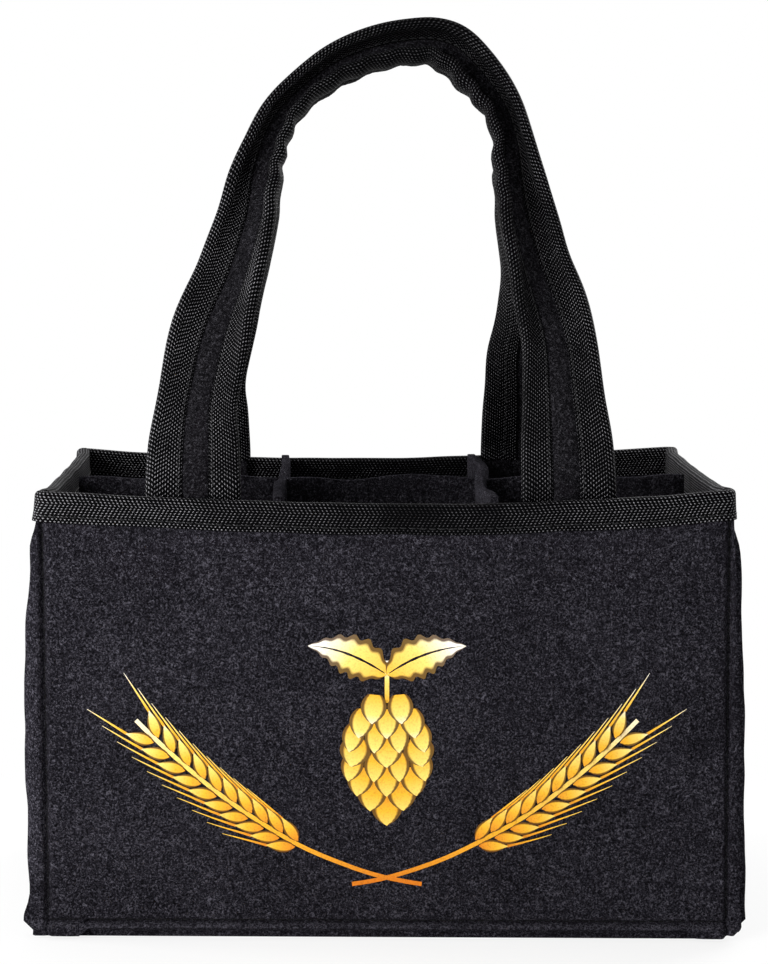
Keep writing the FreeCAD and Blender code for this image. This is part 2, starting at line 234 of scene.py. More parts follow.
white_surround()
bpy.ops.object.select_all(action="DESELECT")
bpy.ops.mesh.primitive_plane_add(size=FLOOR_SIZE, location=(0, 0, 0))
floor = bpy.context.active_object
floor.name = "floor"
floor.data.materials.append(floor_finish())
bpy.context.scene.view_settings.view_transform = "Standard"
print("floor", FLOOR_SIZE, "m")

# %% Lamps
AIM = Vector((0, 0, 0.14))
LAMPS = {  # place, size and power
    "key_lamp": ((-0.55, -0.68, 0.28), 0.5, 8.0),
    "left_lamp": ((-1.3, 0.15, 0.32), 0.4, 18),
    "fill_lamp": ((1.3, -1.5, 0.7), 1.2, 1),
    "top_lamp": ((0.1, 0.5, 1.7), 1.2, 12),
    "back_lamp": ((1.0, 1.2, 0.9), 1.0, 24),
}


def add_lamp(name, place, size, power):
    towards = AIM - Vector(place)
    bpy.ops.object.light_add(type="AREA", location=place,
                             rotation=towards.to_track_quat("-Z", "Y").to_euler())
    lamp = bpy.context.active_object
    lamp.name = name
    lamp.data.size = size
    lamp.data.energy = power


for lamp_name, lamp_facts in LAMPS.items():
    add_lamp(lamp_name, *lamp_facts)
print("lamps", len(LAMPS))

# %% [markdown]
# Felt is a mat of curled fibres. Seen close, pale hairs lie in all directions over a dark ground,
# and from further off the tone drifts a little from place to place. The hairs are made from the
# thin contour lines of a noise, broken up by a second noise, in three sizes. The same lines raise
# the surface through the bump, and a little sheen stands for the nap.

# %% Felt finish
HAIR_SCALES = (420, 650, 900)
HAIR_SHIFTS = ((0.31, 0.17, 0.73), (0.57, 0.91, 0.23), (0.83, 0.41, 0.11))
HAIR_WIDTH = 0.05
HAIR_CURL = 1.4
HAIR_BREAK = 1.3
HAIR_GAIN = 4.0
FINE_GRAIN = (1500, 3.0, 0.65)
GRAIN_GAIN = 2.6
CLUMP_SCALE = 520
CLUMP_GAIN = 2.2
PATCH_SCALE = 40
HAIR_SHARE = 0.40
GRAIN_SHARE = 0.50
CLUMP_SHARE = 0.11
PATCH_SHARE = 0.14
PATCH_SHIFT = -0.05
FELT_STOPS = (0.15, 0.45, 0.82)
HAIR_RAISE = 0.6
FELT_BUMP = (0.6, 0.5 * MM)
FELT_SURFACE = {"Roughness": 0.95, "Specular IOR Level": 0.0, "Sheen Weight": 0.03,
                "Sheen Roughness": 0.5, "Sheen Tint": (0.3, 0.3, 0.34, 1)}
# Painted highlight on the strip below the bottom seam: its height, its ramp and how much it
# lightens.
FOOT_HIGHLIGHT_SPAN = 10 * MM
FOOT_HIGHLIGHT_STOPS = ((0.36, (0, 0, 0)), (0.42, (1, 1, 1)), (0.54, (1, 1, 1)), (0.60, (0, 0, 0)))
FOOT_HIGHLIGHT_LIFT = 0.1


def hair_lines(tree, place, scale, by):
    """Thin curled lines, 1 on a hair and 0 off it, broken into short lengths."""
    field = noise_at(tree, shifted(tree, place, by), scale, 1.0, 0.5, HAIR_CURL)
    off = number(tree, "ABSOLUTE", number(tree, "SUBTRACT", field, 0.5))
    line = number(tree, "SUBTRACT", 1.0, number(tree, "DIVIDE", off, HAIR_WIDTH), clamp=True)
    gate = noise_at(tree, shifted(tree, place, by[::-1]), scale * HAIR_BREAK, 1.0)
    return number(tree, "MULTIPLY", line, stretched(tree, gate, HAIR_GAIN))


def painted_foot_highlight(tree, place):
    """1 on the strip below the bottom seam, a painted highlight where the felt there catches the
    light.
    """
    height = number(tree, "DIVIDE", parts_of(tree, place)["Z"], FOOT_HIGHLIGHT_SPAN)
    return tone(tree, height, *FOOT_HIGHLIGHT_STOPS)


def felt_finish(name, ground, middle, hair):
    finish, tree, shader = new_finish(name)
    place = coordinates(tree)
    hairs, *others = [hair_lines(tree, place, scale, by)
                      for scale, by in zip(HAIR_SCALES, HAIR_SHIFTS)]
    for lines in others:
        hairs = number(tree, "MAXIMUM", hairs, lines)
    grain = stretched(tree, noise_at(tree, place, *FINE_GRAIN), GRAIN_GAIN)
    clump = stretched(tree, noise_at(tree, place, CLUMP_SCALE), CLUMP_GAIN)
    patch = noise_at(tree, place, PATCH_SCALE)
    mixed = number(tree, "MULTIPLY", hairs, HAIR_SHARE)
    mixed = number(tree, "MULTIPLY_ADD", grain, GRAIN_SHARE, mixed)
    mixed = number(tree, "MULTIPLY_ADD", clump, CLUMP_SHARE, mixed)
    drift = number(tree, "MULTIPLY_ADD", patch, PATCH_SHARE, PATCH_SHIFT)
    # Painted highlight: the strip below the bottom seam is made lighter where it catches the light.
    drift = number(tree, "MULTIPLY_ADD", painted_foot_highlight(tree, place), FOOT_HIGHLIGHT_LIFT, drift)
    share = number(tree, "ADD", mixed, drift, clamp=True)
    colour = tone(tree, share, *zip(FELT_STOPS, (ground, middle, hair)))
    tree.links.new(colour, shader.inputs["Base Color"])
    set_inputs(shader, FELT_SURFACE)
    height = number(tree, "MULTIPLY_ADD", hairs, HAIR_RAISE, grain)
    raise_surface(tree, shader, height, *FELT_BUMP)
    return finish


panel_felt = felt_finish("charcoal_felt", (0.0024, 0.0022, 0.0029), (0.0128, 0.0118, 0.0155),
                         (0.088, 0.084, 0.103))
divider_felt = felt_finish("divider_felt", (0.0030, 0.0028, 0.0035), (0.0145, 0.0135, 0.0170),
                           (0.088, 0.084, 0.100))
strap_felt = felt_finish("strap_felt", (0.0018, 0.0016, 0.0020), (0.0090, 0.0084, 0.0101),
                         (0.056, 0.054, 0.062))
print("felt finishes", panel_felt.name, divider_felt.name, strap_felt.name)

# %% [markdown]
# The tape is woven in a herringbone: rows of short slanted floats in black yarn, with a plainer
# edge along each side where the weft turns back. Each float is a small bright dash: the yarn shines
# a little on its crown, and that shine is painted into the colour as a highlight. The pattern
# follows the tape, so it reads the piece's own UV map, which holds metres along the tape and metres
# across it.

# %% Tape weave
FLOAT_PITCH = 1.42 * MM
FLOAT_HALF_LENGTH = 0.31
FLOAT_HALF_WIDTH = 0.37
FLOAT_LEAN = 0.5
ROW_WIDTH = 0.92 * MM
BAND_WIDTH = 6.6 * MM
EDGE_WIDTH = 2.3 * MM
TAPE_WIDTH = 23 * MM
TWILL_STEP = 0.36


def squared(tree, value, half):
    share = number(tree, "DIVIDE", value, half)
    return number(tree, "MULTIPLY", share, share)


def tape_floats(tree):
    """1 on the crown of a float and 0 between floats."""
    where = parts_of(tree, coordinates(tree, "UV"))
    along, across = where["X"], where["Y"]
    from_edge = number(tree, "PINGPONG", across, TAPE_WIDTH / 2)
    inner = number(tree, "GREATER_THAN", from_edge, EDGE_WIDTH)
    past = number(tree, "GREATER_THAN", from_edge, BAND_WIDTH)
    turn = number(tree, "MULTIPLY_ADD", past, 2.0, -1.0)
    slant = number(tree, "MULTIPLY", turn, inner)
    rows = number(tree, "DIVIDE", across, ROW_WIDTH)
    row = number(tree, "FLOOR", rows)
    up = number(tree, "SUBTRACT", number(tree, "FRACT", rows), 0.5)
    plain = number(tree, "MULTIPLY_ADD", inner, -0.5, 0.5)
    step = number(tree, "MULTIPLY_ADD", slant, TWILL_STEP, plain)
    start = number(tree, "MULTIPLY", row, step)
    lean = number(tree, "MULTIPLY", number(tree, "MULTIPLY", up, slant), FLOAT_LEAN)
    run = number(tree, "ADD", number(tree, "DIVIDE", along, FLOAT_PITCH),
                 number(tree, "ADD", start, lean))
    ahead = number(tree, "SUBTRACT", number(tree, "FRACT", run), 0.5)
    off = number(tree, "ADD", squared(tree, ahead, FLOAT_HALF_LENGTH),
                 squared(tree, up, FLOAT_HALF_WIDTH))
    return number(tree, "SUBTRACT", 1.0, off, clamp=True)


# %% Tape finish
# Painted sheen that makes the tape lighter towards the ends of the bag.
PAINTED_SHEEN_HALF = 110 * MM
PAINTED_SHEEN_SHIFT = -0.14
PAINTED_SHEEN_GAIN = 0.6
PAINTED_SHEEN_LEAST = 0.55
PAINTED_SHEEN_MOST = 1.15
YARN_SCALE = 1500
YARN_SHARES = (1.2, 0.5)
# Patches in the painted highlight on the float crowns.
SHEEN_PATCH_SCALE = 70
SHEEN_PATCH_GAIN = 2.0
SHEEN_PATCH_SHARES = (0.35, 0.65)
TAPE_BUMP = (0.8, 0.5 * MM)
# The last stop is the colour of the painted highlight on a float's crown.
TAPE_STOPS = ((0.04, (0.001, 0.001, 0.0012)), (0.40, (0.022, 0.021, 0.023)),
              (0.95, (0.25, 0.245, 0.26)))


def painted_sheen_share(tree, place):
    """Painted sheen: rises from the middle of the bag towards its ends, where the tape's shine is
    painted lighter.
    """
    aside = number(tree, "MULTIPLY_ADD", parts_of(tree, place)["X"], 1 / PAINTED_SHEEN_HALF, PAINTED_SHEEN_SHIFT)
    away = number(tree, "ABSOLUTE", aside)
    sheen_level = number(tree, "MULTIPLY_ADD", away, PAINTED_SHEEN_GAIN, PAINTED_SHEEN_LEAST)
    return number(tree, "MINIMUM", sheen_level, PAINTED_SHEEN_MOST)


def tape_finish():
    finish, tree, shader = new_finish("black_tape")
    place = coordinates(tree)
    floats = tape_floats(tree)
    yarn = number(tree, "MULTIPLY_ADD", noise_at(tree, place, YARN_SCALE, 1.0), *YARN_SHARES)
    # The float crowns are painted highlights, the yarn's shine, varied in patches.
    sheen_patches = stretched(tree, noise_at(tree, place, SHEEN_PATCH_SCALE), SHEEN_PATCH_GAIN)
    lit = number(tree, "MULTIPLY", floats, number(tree, "MULTIPLY_ADD", sheen_patches, *SHEEN_PATCH_SHARES))
    # Painted sheen: the float highlights grow lighter towards the ends of the bag.
    lit = number(tree, "MULTIPLY", lit, painted_sheen_share(tree, place))
    share = number(tree, "MULTIPLY", lit, yarn, clamp=True)
    tree.links.new(tone(tree, share, *TAPE_STOPS), shader.inputs["Base Color"])
    set_inputs(shader, {"Roughness": 0.5, "Specular IOR Level": 0.01})
    raise_surface(tree, shader, floats, *TAPE_BUMP)
    return finish


woven_tape = tape_finish()
print("tape finish", woven_tape.name)

# %% [markdown]
# The sewing thread is black and slightly glossy. Its twist shows as fine bands across each stitch.

# %% Thread finish
TWIST_SCALE = 3800
THREAD_BUMP = (0.4, 0.2 * MM)
THREAD_STOPS = ((0.3, (0.002, 0.002, 0.002)), (0.75, (0.020, 0.020, 0.022)))


def thread_finish():
    finish, tree, shader = new_finish("black_thread")
    twist = noise_at(tree, coordinates(tree), TWIST_SCALE, 1.0)
    tree.links.new(tone(tree, twist, *THREAD_STOPS), shader.inputs["Base Color"])
    set_inputs(shader, {"Roughness": 0.45, "Specular IOR Level": 0.12})
    raise_surface(tree, shader, twist, *THREAD_BUMP)
    return finish


seam_thread = thread_finish()
print("thread finish", seam_thread.name)

# %% [markdown]
# Every flat piece starts as a grid, as a pattern cutter starts with a flat blank. The rows and
# columns are put closer together where a seam or a fold needs them, each point is carried to its
# place on the sewn bag, and Solidify gives the felt or the tape its thickness. The UV map keeps the
# flat sizes.

# %% Cloth helpers
SMOOTH_ANGLE = math.radians(55)
BEVEL_ANGLE = math.radians(60)


def steps(start, *runs):
    """Marks along a line: each run is (where it ends, how many faces it has)."""
    marks = [start]
    for end, count in runs:
        first = marks[-1]
        marks += [first + (end - first) * (face + 1) / count for face in range(count)]
    return marks


def pick(piece):
    """Selects this piece alone, ready for an operator."""
    bpy.ops.object.select_all(action="DESELECT")
    piece.select_set(True)
    bpy.context.view_layer.objects.active = piece


def cloth_grid(name, across, up, place):
    """A grid whose point at marks (a, b) goes to place(a, b); its UV map keeps the marks."""
    bpy.ops.object.select_all(action="DESELECT")
    columns, rows = len(across) - 1, len(up) - 1
    bpy.ops.mesh.primitive_grid_add(x_subdivisions=columns, y_subdivisions=rows, size=1)
    piece = bpy.context.active_object
    piece.name = piece.data.name = name
    marks = []
    for point in piece.data.vertices:
        column, row = round((point.co.x + 0.5) * columns), round((point.co.y + 0.5) * rows)
        marks.append((across[column], up[row]))
        point.co = place(*marks[-1])
    flat = piece.data.uv_layers.active.data
    for loop in piece.data.loops:
        flat[loop.index].uv = marks[loop.vertex_index]
    return piece


def choose(piece, kind, test):
    """Selects the faces or edges of the active piece that pass the test, and stays in edit mode."""
    bpy.ops.object.mode_set(mode="EDIT")
    bpy.ops.mesh.select_mode(type=kind)
    bpy.ops.mesh.select_all(action="DESELECT")
    bpy.ops.object.mode_set(mode="OBJECT")
    for item in piece.data.polygons if kind == "FACE" else piece.data.edges:
        item.select = test(item)
    bpy.ops.object.mode_set(mode="EDIT")


def cut_away(piece, test):
    """Deletes the faces whose centre passes the test."""
    choose(piece, "FACE", lambda face: test(face.center))
    bpy.ops.mesh.delete(type="FACE")
    bpy.ops.object.mode_set(mode="OBJECT")


def thicken(piece, thickness, offset=0.0, round_edge=0.0):
    pick(piece)
    solid = piece.modifiers.new("thickness", "SOLIDIFY")
    solid.thickness = thickness
    solid.offset = offset
    bpy.ops.object.modifier_apply(modifier=solid.name)
    if round_edge:
        bevel = piece.modifiers.new("edge", "BEVEL")
        bevel.width = round_edge
        bevel.segments = 2
        bevel.limit_method = "ANGLE"
        bevel.angle_limit = BEVEL_ANGLE
        bpy.ops.object.modifier_apply(modifier=bevel.name)
    bpy.ops.object.shade_smooth_by_angle(angle=SMOOTH_ANGLE)


def coat(piece, finish):
    piece.data.materials.clear()
    piece.data.materials.append(finish)
    print(piece.name, len(piece.data.polygons), "faces")


def dress(piece, finish, slot, *nodes):
    coat(piece, finish)
    if nodes:
        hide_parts(*nodes)


# %% Shape helpers
def limited(share):
    return min(max(share, 0.0), 1.0)


def ease(share):
    """0 to 1 with a soft start and end."""
    share = limited(share)
    return share * share * (3 - 2 * share)


def ripple(x, y, z, length, height):
    """Smooth unevenness of the given wave length and height."""
    return height * noise.noise(Vector((x, y, z)) / length)


def end_of(x):
    """1 at the right end of the bag and -1 at the left one."""
    return 1 if x > 0 else -1


# %% [markdown]
# The front and back panels hang between two corner seams, the bottom seam and the rim. Use has
# pressed them out a little in the middle, the rim has sagged, and each seam presses the outer face
# into a groove. Outside the corner seams a raw margin stands out as a fin, wider at the foot than
# at the rim, and curls back a little. The groove is pressed in after Solidify has given the
# thickness, so the inner face stays smooth.

# %% Panel sizes
panel_low, panel_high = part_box("front_panel")
rim_tape_low, rim_tape_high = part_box("rim_binding_front")
FELT = panel_high.y - panel_low.y
FACE = -panel_low.y
FOOT = panel_low.z
RIM = panel_high.z
FOOT_HALF = panel_high.x
RIM_HALF = 118.75 * MM
SEAM_X = 117.5 * MM
SEAM_Z = 6.2 * MM
TAPE_FOOT = rim_tape_low.z
RIM_RAISE = 0.8 * MM
RIM_SAG = 4.5 * MM
SAG_SKEW = 0.25


def rim_dip(x):
    """How far the rim has sunk below its corners' height, along the front."""
    share = max(-1.0, min(1.0, x / RIM_HALF))
    return RIM_SAG * (1 - share * share) * (1 + SAG_SKEW * share) - RIM_RAISE


def edge_half(z):
    return FOOT_HALF + (RIM_HALF - FOOT_HALF) * (z - FOOT) / (RIM - FOOT)


print("rim sags", round(rim_dip(0) / MM, 1), "mm")

# %% Panel face
BELLY = 3.6 * MM
BELLY_SQUARENESS = 2.6
BELLY_HEIGHT = 0.86
PANEL_WAVES = ((42 * MM, 0.6 * MM), (13 * MM, 0.25 * MM))
FOOT_PUSH = 1.5 * MM
FOOT_PUSH_RUN = 3 * MM


def wall_share(z):
    """0 at the bottom seam and 1 at the rim."""
    return limited((z - SEAM_Z) / (RIM - SEAM_Z))


def belly(x, z):
    """How far the panel is pressed outward."""
    share = min(abs(x) / SEAM_X, 1.0)
    rise = math.sin(math.pi * BELLY_HEIGHT * wall_share(z))
    return BELLY * (1 - share ** BELLY_SQUARENESS) * rise


def smooth_depth(x, z, side=1):
    """A panel's outer face, in front of the bag's middle, before its seams are pressed in."""
    uneven = sum(ripple(x, side, z, *wave) for wave in PANEL_WAVES)
    pushed = FOOT_PUSH * ease((SEAM_Z - z) / FOOT_PUSH_RUN)
    return FACE + belly(x, z) + pushed + uneven


# %% Panel foot
FOOT_TOP = 12 * MM
FOOT_LIFT = 1.2 * MM
MARGIN_DROP = 1.9 * MM
MARGIN_START = 103 * MM
MARGIN_RUN = 4 * MM
TIP_START = 115.8 * MM
TIP_RUN = 1.5 * MM
TIP_LIFT = {1: 1.1 * MM, -1: 0.2 * MM}
CUT_START = {1: 119.6 * MM, -1: 122.4 * MM}
FOOT_WAVE = (20 * MM, 0.5 * MM)
FOOT_WAVE_END = 108 * MM
FOOT_WAVE_RUN = 8 * MM


def to_foot(x, z):
    """Carries the lowest rows to the cut foot: lower at the corners, with tips cut slantwise."""
    if z >= FOOT_TOP:
        return z
    end = end_of(x)
    cut = max(0.0, abs(x) - CUT_START[end]) + TIP_LIFT[end] * ease((abs(x) - TIP_START) / TIP_RUN)
    corner = ease((abs(x) - MARGIN_START) / MARGIN_RUN)
    low = FOOT + FOOT_LIFT * (1 - corner) - MARGIN_DROP * corner + cut
    return low + (z - FOOT) * (FOOT_TOP - low) / (FOOT_TOP - FOOT)


def sunk_to(x, z, side):
    """Height that a panel's point comes to, with the sagging rim and the uneven foot."""
    height = (z - FOOT) / (RIM - FOOT)
    uneven = ripple(x, side * 2, 0, *FOOT_WAVE) * (1 - height)
    uneven *= ease((FOOT_WAVE_END - abs(x)) / FOOT_WAVE_RUN)
    return to_foot(side * x, z) - rim_dip(x) * height ** 2 + uneven


# %% Seam grooves
GROOVE = 2.7 * MM
GROOVE_WIDTH = 0.85 * MM
GROOVE_TOP_RUN = 14 * MM
GROOVE_FOOT_RUN = 6 * MM
FOOT_GROOVE_WIDTH = 0.6 * MM


def groove(distance, width=GROOVE_WIDTH):
    return GROOVE * math.exp(-(distance / width) ** 2)


def pulled_in(x, z):
    """How far the corner and bottom seams pull the felt in."""
    corner = groove(abs(x) - SEAM_X) * ease((RIM - z) / GROOVE_TOP_RUN) * ease(z / GROOVE_FOOT_RUN)
    foot = groove(z - SEAM_Z, FOOT_GROOVE_WIDTH) * ease((SEAM_X - abs(x)) / MM + 1)
    return max(corner, foot)


def front_depth(x, z, side=1):
    return smooth_depth(x, z, side) - pulled_in(x, z)


# %% Corner fins
FIN_BULGE = {1: (0.6 * MM, 86 * MM, 42 * MM), -1: (2.1 * MM, 84 * MM, 42 * MM)}
ROLL_START = 118.2 * MM
ROLL = 0.11 / MM
ROLL_TOP_RUN = 15 * MM
ROLL_FOOT = 14 * MM
ROLL_FOOT_RUN = 16 * MM
CORNER_START = 114.6 * MM
CORNER_RADIUS = 2.6 * MM


def fin_bulge(z, end):
    """How far use has bowed out the fin at the right (1) or left (-1) of the bag."""
    size, middle, reach = FIN_BULGE[end]
    return size * math.exp(-((z - middle) / reach) ** 2)


def rolled_back(x, z):
    """How far a corner fin has curled back, from just outside its seam to its edge."""
    past = max(0.0, abs(x) - ROLL_START)
    free = ease((TAPE_FOOT - z) / ROLL_TOP_RUN) * ease((z - ROLL_FOOT) / ROLL_FOOT_RUN)
    return ROLL * past * past * free


def round_corner(x, out):
    """(x, depth) of a point near the rim's corner, where its layer turns back round the corner."""
    past = abs(x) - CORNER_START
    middle = FACE - FELT / 2
    if past <= 0:
        return x, middle + out
    angle = min(past / CORNER_RADIUS, math.pi / 2)
    reach = CORNER_RADIUS + out
    turned = CORNER_START + reach * math.sin(angle)
    return math.copysign(turned, x), middle - CORNER_RADIUS + reach * math.cos(angle)


# %% Front and back panels
SEAM_SHARE = 0.95
GROOVE_SHARE = 0.91
WALL_FINE = 140 * MM
RAGGED = (9 * MM, 0.5 * MM)
TUCK = 0.8
TUCK_RUN = 0.4 * MM
TUCK_ROW = 0.5 * MM
FOOT_TURN = 0.039


def panel_point(across, z, side):
    """Point of a panel; across is -1 to 1, with the corner seams at the seam share."""
    share = abs(across)
    if share <= SEAM_SHARE:
        x = SEAM_X * across / SEAM_SHARE
    else:
        fin = (share - SEAM_SHARE) / (1 - SEAM_SHARE)
        ragged = ripple(math.copysign(3, across), side, z, *RAGGED)
        edge = edge_half(z) + fin_bulge(z, end_of(side * across)) + ragged
        x = math.copysign(SEAM_X + (edge - SEAM_X) * fin, across)
    depth = smooth_depth(x, to_foot(side * x, z), side) - rolled_back(x, z)
    tucked = max(0.0, abs(x) - CORNER_START) * TUCK * ease((z - TAPE_FOOT) / TUCK_RUN)
    return Vector((side * (x - math.copysign(tucked, x)), -side * depth, sunk_to(x, z, side)))


def make_panel(name, side):
    columns = steps(-1, (-SEAM_SHARE, 7), (-GROOVE_SHARE, 8), (GROOVE_SHARE, 76), (SEAM_SHARE, 8),
                    (1, 7))
    rows = steps(FOOT, (FOOT_TOP, 24), (WALL_FINE, 43), (TAPE_FOOT, 3), (TAPE_FOOT + TUCK_ROW, 1),
                 (RIM, 5))
    piece = cloth_grid(name, columns, rows, lambda a, z: panel_point(a, z, side))
    thicken(piece, FELT, offset=-1)
    for point in piece.data.vertices:
        x, z = side * point.co.x, point.co.z
        behind = smooth_depth(x, z, side) + side * point.co.y
        point.co.y += side * pulled_in(x, z) * limited(1 - behind / FELT)
    return piece


def settle(piece):
    """Puts a finished piece on the bag, whose foot has turned a little against its rim."""
    for point in piece.data.vertices:
        point.co.y -= FOOT_TURN * point.co.x * max(0.0, 1 - point.co.z / RIM)
    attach(piece, "bag")


def sew_on(piece, finish, slot, node):
    """Dresses a piece that stands for a node of the bag, and settles it there."""
    dress(piece, finish, slot, node)
    settle(piece)
    return piece


walls = {}
for where, side in (("front", 1), ("back", -1)):
    panel = make_panel(f"{where}_felt", side)
    walls[where] = sew_on(panel, panel_felt, "panel_felt", f"{where}_panel")

# %% [markdown]
# A side panel is one piece of felt with both upright edges turned outward. Those turned edges lie
# behind the margins of the front and back panels and are sewn to them, so they make the other half
# of each corner fin. In plan the sheet runs along one turned edge, round a tight bend, along the
# wall, and round again. At the left foot the fin has spread and frayed, at the right it is cut off
# slantwise.

# %% Side walls
MARGIN_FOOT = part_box("right_side_panel")[1].x
WALL_FOOT = 116.4 * MM
WALL_RIM = 117.2 * MM
TURN_TOP = 145.5 * MM
TURN_Y = FACE - 1.5 * FELT
BEND = 2.3 * MM
WALL_END = TURN_Y - BEND
SIDE_BELLY = 2.4 * MM
SIDE_SQUARENESS = 2.4
SIDE_HEIGHT = 0.9
SIDE_SAG = 1.6 * MM
SIDE_GROOVE = 0.7
SIDE_GROOVE_RUN = 6 * MM
SIDE_WAVE = (38 * MM, 0.6 * MM)
SIDE_WAVE_FADE = 8
SWING = 1.4 * MM
SWING_START = 60 * MM
SWING_RUN = 15 * MM
SWING_DROP = 3 * MM
SWING_RISE = 4 * MM


def wall_middle(z):
    """Half distance between the side walls' middle layers."""
    return WALL_FOOT + (WALL_RIM - WALL_FOOT) * z / RIM - FELT / 2


def side_dip(y):
    share = min(1.0, abs(y) / TURN_Y)
    return SIDE_SAG * (1 - share * share) - RIM_RAISE


def side_depth(y, z, side):
    """Distance of a side wall's middle layer from the bag's middle."""
    share = min(1.0, abs(y) / WALL_END)
    bow = SIDE_BELLY * (1 - share ** SIDE_SQUARENESS)
    bow *= math.sin(math.pi * SIDE_HEIGHT * wall_share(z))
    swing = SWING * ease((abs(y) - SWING_START) / SWING_RUN)
    swing *= ease((z - TURN_TOP + SWING_DROP) / SWING_RISE)
    uneven = ripple(side * 3, y, z, *SIDE_WAVE) * ease((1 - share) * SIDE_WAVE_FADE)
    return wall_middle(z) + bow + swing + uneven


def side_groove(y, z):
    """How far the bottom seam presses the side wall's outer face in."""
    pressed = SIDE_GROOVE * groove(z - SEAM_Z, FOOT_GROOVE_WIDTH)
    return pressed * ease((WALL_END - abs(y)) / SIDE_GROOVE_RUN)


# %% Side panels
MARGIN_RIM = 120.3 * MM
FIN_SHARE = 0.9
TURN_SHARE = 0.84
FINE_SHARE = 0.8
SPREAD = {1: 0.7 * MM, -1: 2.5 * MM}
SPREAD_TOP = 17 * MM
SPREAD_RUN = 12 * MM
WORN = {1: 1.7 * MM, -1: 1.0 * MM}
WORN_RUN = 10 * MM
SIDE_RAGGED = (11 * MM, 0.6 * MM)


def fin_edge(z, side):
    """Outer edge of a turned side edge: it spreads at the foot, more on the left."""
    straight = MARGIN_FOOT + (MARGIN_RIM - MARGIN_FOOT) * (z - FOOT) / (RIM - FOOT)
    spread = SPREAD[side] * ease((SPREAD_TOP - z) / SPREAD_RUN)
    worn = WORN[side] * ease((z - TURN_TOP + WORN_RUN) / WORN_RUN)
    return straight + spread - worn + fin_bulge(z, side) + ripple(side * 5, 0.1, z, *SIDE_RAGGED)


def side_point(along, z, side):
    """Point of a side panel; along is -1 to 1 round its plan, from the front turned edge."""
    share = abs(along)
    bend_x = wall_middle(z) + BEND
    if share > FIN_SHARE:
        fin = (share - FIN_SHARE) / (1 - FIN_SHARE)
        x = bend_x + (fin_edge(z, side) - bend_x) * fin
        y = TURN_Y - rolled_back(x, z)
        z = to_foot(side * x, z)
    elif share > TURN_SHARE:
        angle = math.pi / 2 * (share - TURN_SHARE) / (FIN_SHARE - TURN_SHARE)
        x = bend_x - BEND * math.cos(angle)
        y = WALL_END + BEND * math.sin(angle)
        z += (to_foot(side * x, z) - z) * math.sin(angle)
    else:
        y = WALL_END * share / TURN_SHARE
        x = side_depth(math.copysign(y, along), z, side)
    y = math.copysign(y, along)
    sunk = z - side_dip(y) * ((z - FOOT) / (RIM - FOOT)) ** 2
    return Vector((side * x, side * y, sunk))


def make_side(name, side):
    columns = steps(-1, (-FIN_SHARE, 9), (-TURN_SHARE, 6), (-FINE_SHARE, 5), (FINE_SHARE, 48),
                    (TURN_SHARE, 5), (FIN_SHARE, 6), (1, 9))
    rows = steps(FOOT, (FOOT_TOP, 24), (WALL_FINE, 43), (TURN_TOP, 3), (RIM, 4))
    piece = cloth_grid(name, columns, rows, lambda a, z: side_point(a, z, side))
    cut_away(piece, lambda c: c.z > TURN_TOP + MM and abs(c.y) > WALL_END)
    thicken(piece, FELT)
    for point in piece.data.vertices:
        out = side * point.co.x - side_depth(side * point.co.y, point.co.z, side)
        pressed = side_groove(point.co.y, point.co.z) * limited(out / FELT + 0.5)
        point.co.x -= side * pressed
    return piece


for where, side in (("right", 1), ("left", -1)):
    panel = make_side(f"{where}_side_felt", side)
    walls[where] = sew_on(panel, panel_felt, "panel_felt", f"{where}_side_panel")

# %% [markdown]
# The bottom is a felt tray: a rectangle whose edges turn down and are sewn behind the foot of the
# walls, so a narrow smooth edge shows below them and the bag stands on it. A box without its lower
# face has that shape. Its upper corners are rounded by a bevel and Solidify gives the felt.

# %% Bottom
bottom_low, bottom_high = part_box("bottom_panel")
TRAY_ROUND = 2.6 * MM


def make_bottom():
    bpy.ops.object.select_all(action="DESELECT")
    bpy.ops.mesh.primitive_cube_add(size=1, location=(bottom_low + bottom_high) / 2,
                                    scale=bottom_high - bottom_low)
    bpy.ops.object.transform_apply(location=True, rotation=True, scale=True)
    piece = bpy.context.active_object
    piece.name = piece.data.name = "bottom_felt"
    cut_away(piece, lambda c: c.z < MM)
    choose(piece, "EDGE", lambda edge: any(piece.data.vertices[corner].co.z > bottom_high.z - MM
                                           for corner in edge.vertices))
    bpy.ops.mesh.bevel(offset=TRAY_ROUND, segments=4)
    bpy.ops.object.mode_set(mode="OBJECT")
    thicken(piece, FELT, offset=-1, round_edge=0.3 * MM)
    return piece


bottom_felt = sew_on(make_bottom(), panel_felt, "panel_felt", "bottom_panel")

# %% [markdown]
# Three felt dividers slot together into six compartments. The long one runs from side to side and
# turns back into a sewn tab at each end. The two cross ones stand loose between front and back.
# Their top edges are cut by hand and wave a little, and the felt leans where it was pressed aside.

# %% Divider sizes
long_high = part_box("long_divider")[1]
cross_low, cross_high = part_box("right_cross_divider")
DIVIDER_FELT = cross_high.x - cross_low.x
DIVIDER_FOOT = cross_low.z
DIVIDER_TOP = cross_high.z
DIVIDER_HEIGHT = DIVIDER_TOP - DIVIDER_FOOT
DIVIDER_EDGE = 0.35 * MM
CROSS_X = (cross_low.x + cross_high.x) / 2
CROSS_END = cross_high.y
PLAY = 0.3 * MM
SLOT_HALF = DIVIDER_FELT / 2 + PLAY
SLOT_MEET = (DIVIDER_FOOT + DIVIDER_TOP) / 2
TAB_END = long_high.y
TAB_X = long_high.x - DIVIDER_FELT / 2 - PLAY
TAB_BEND = 2.2 * MM
LONG_REACH = TAB_X - TAB_BEND
TAB_TURN = 0.1
TAB_RUN = 0.4
TOP_POWER = 6
TOP_ROWS = 0.94


def divider_rise(height):
    return DIVIDER_FOOT + DIVIDER_HEIGHT * height


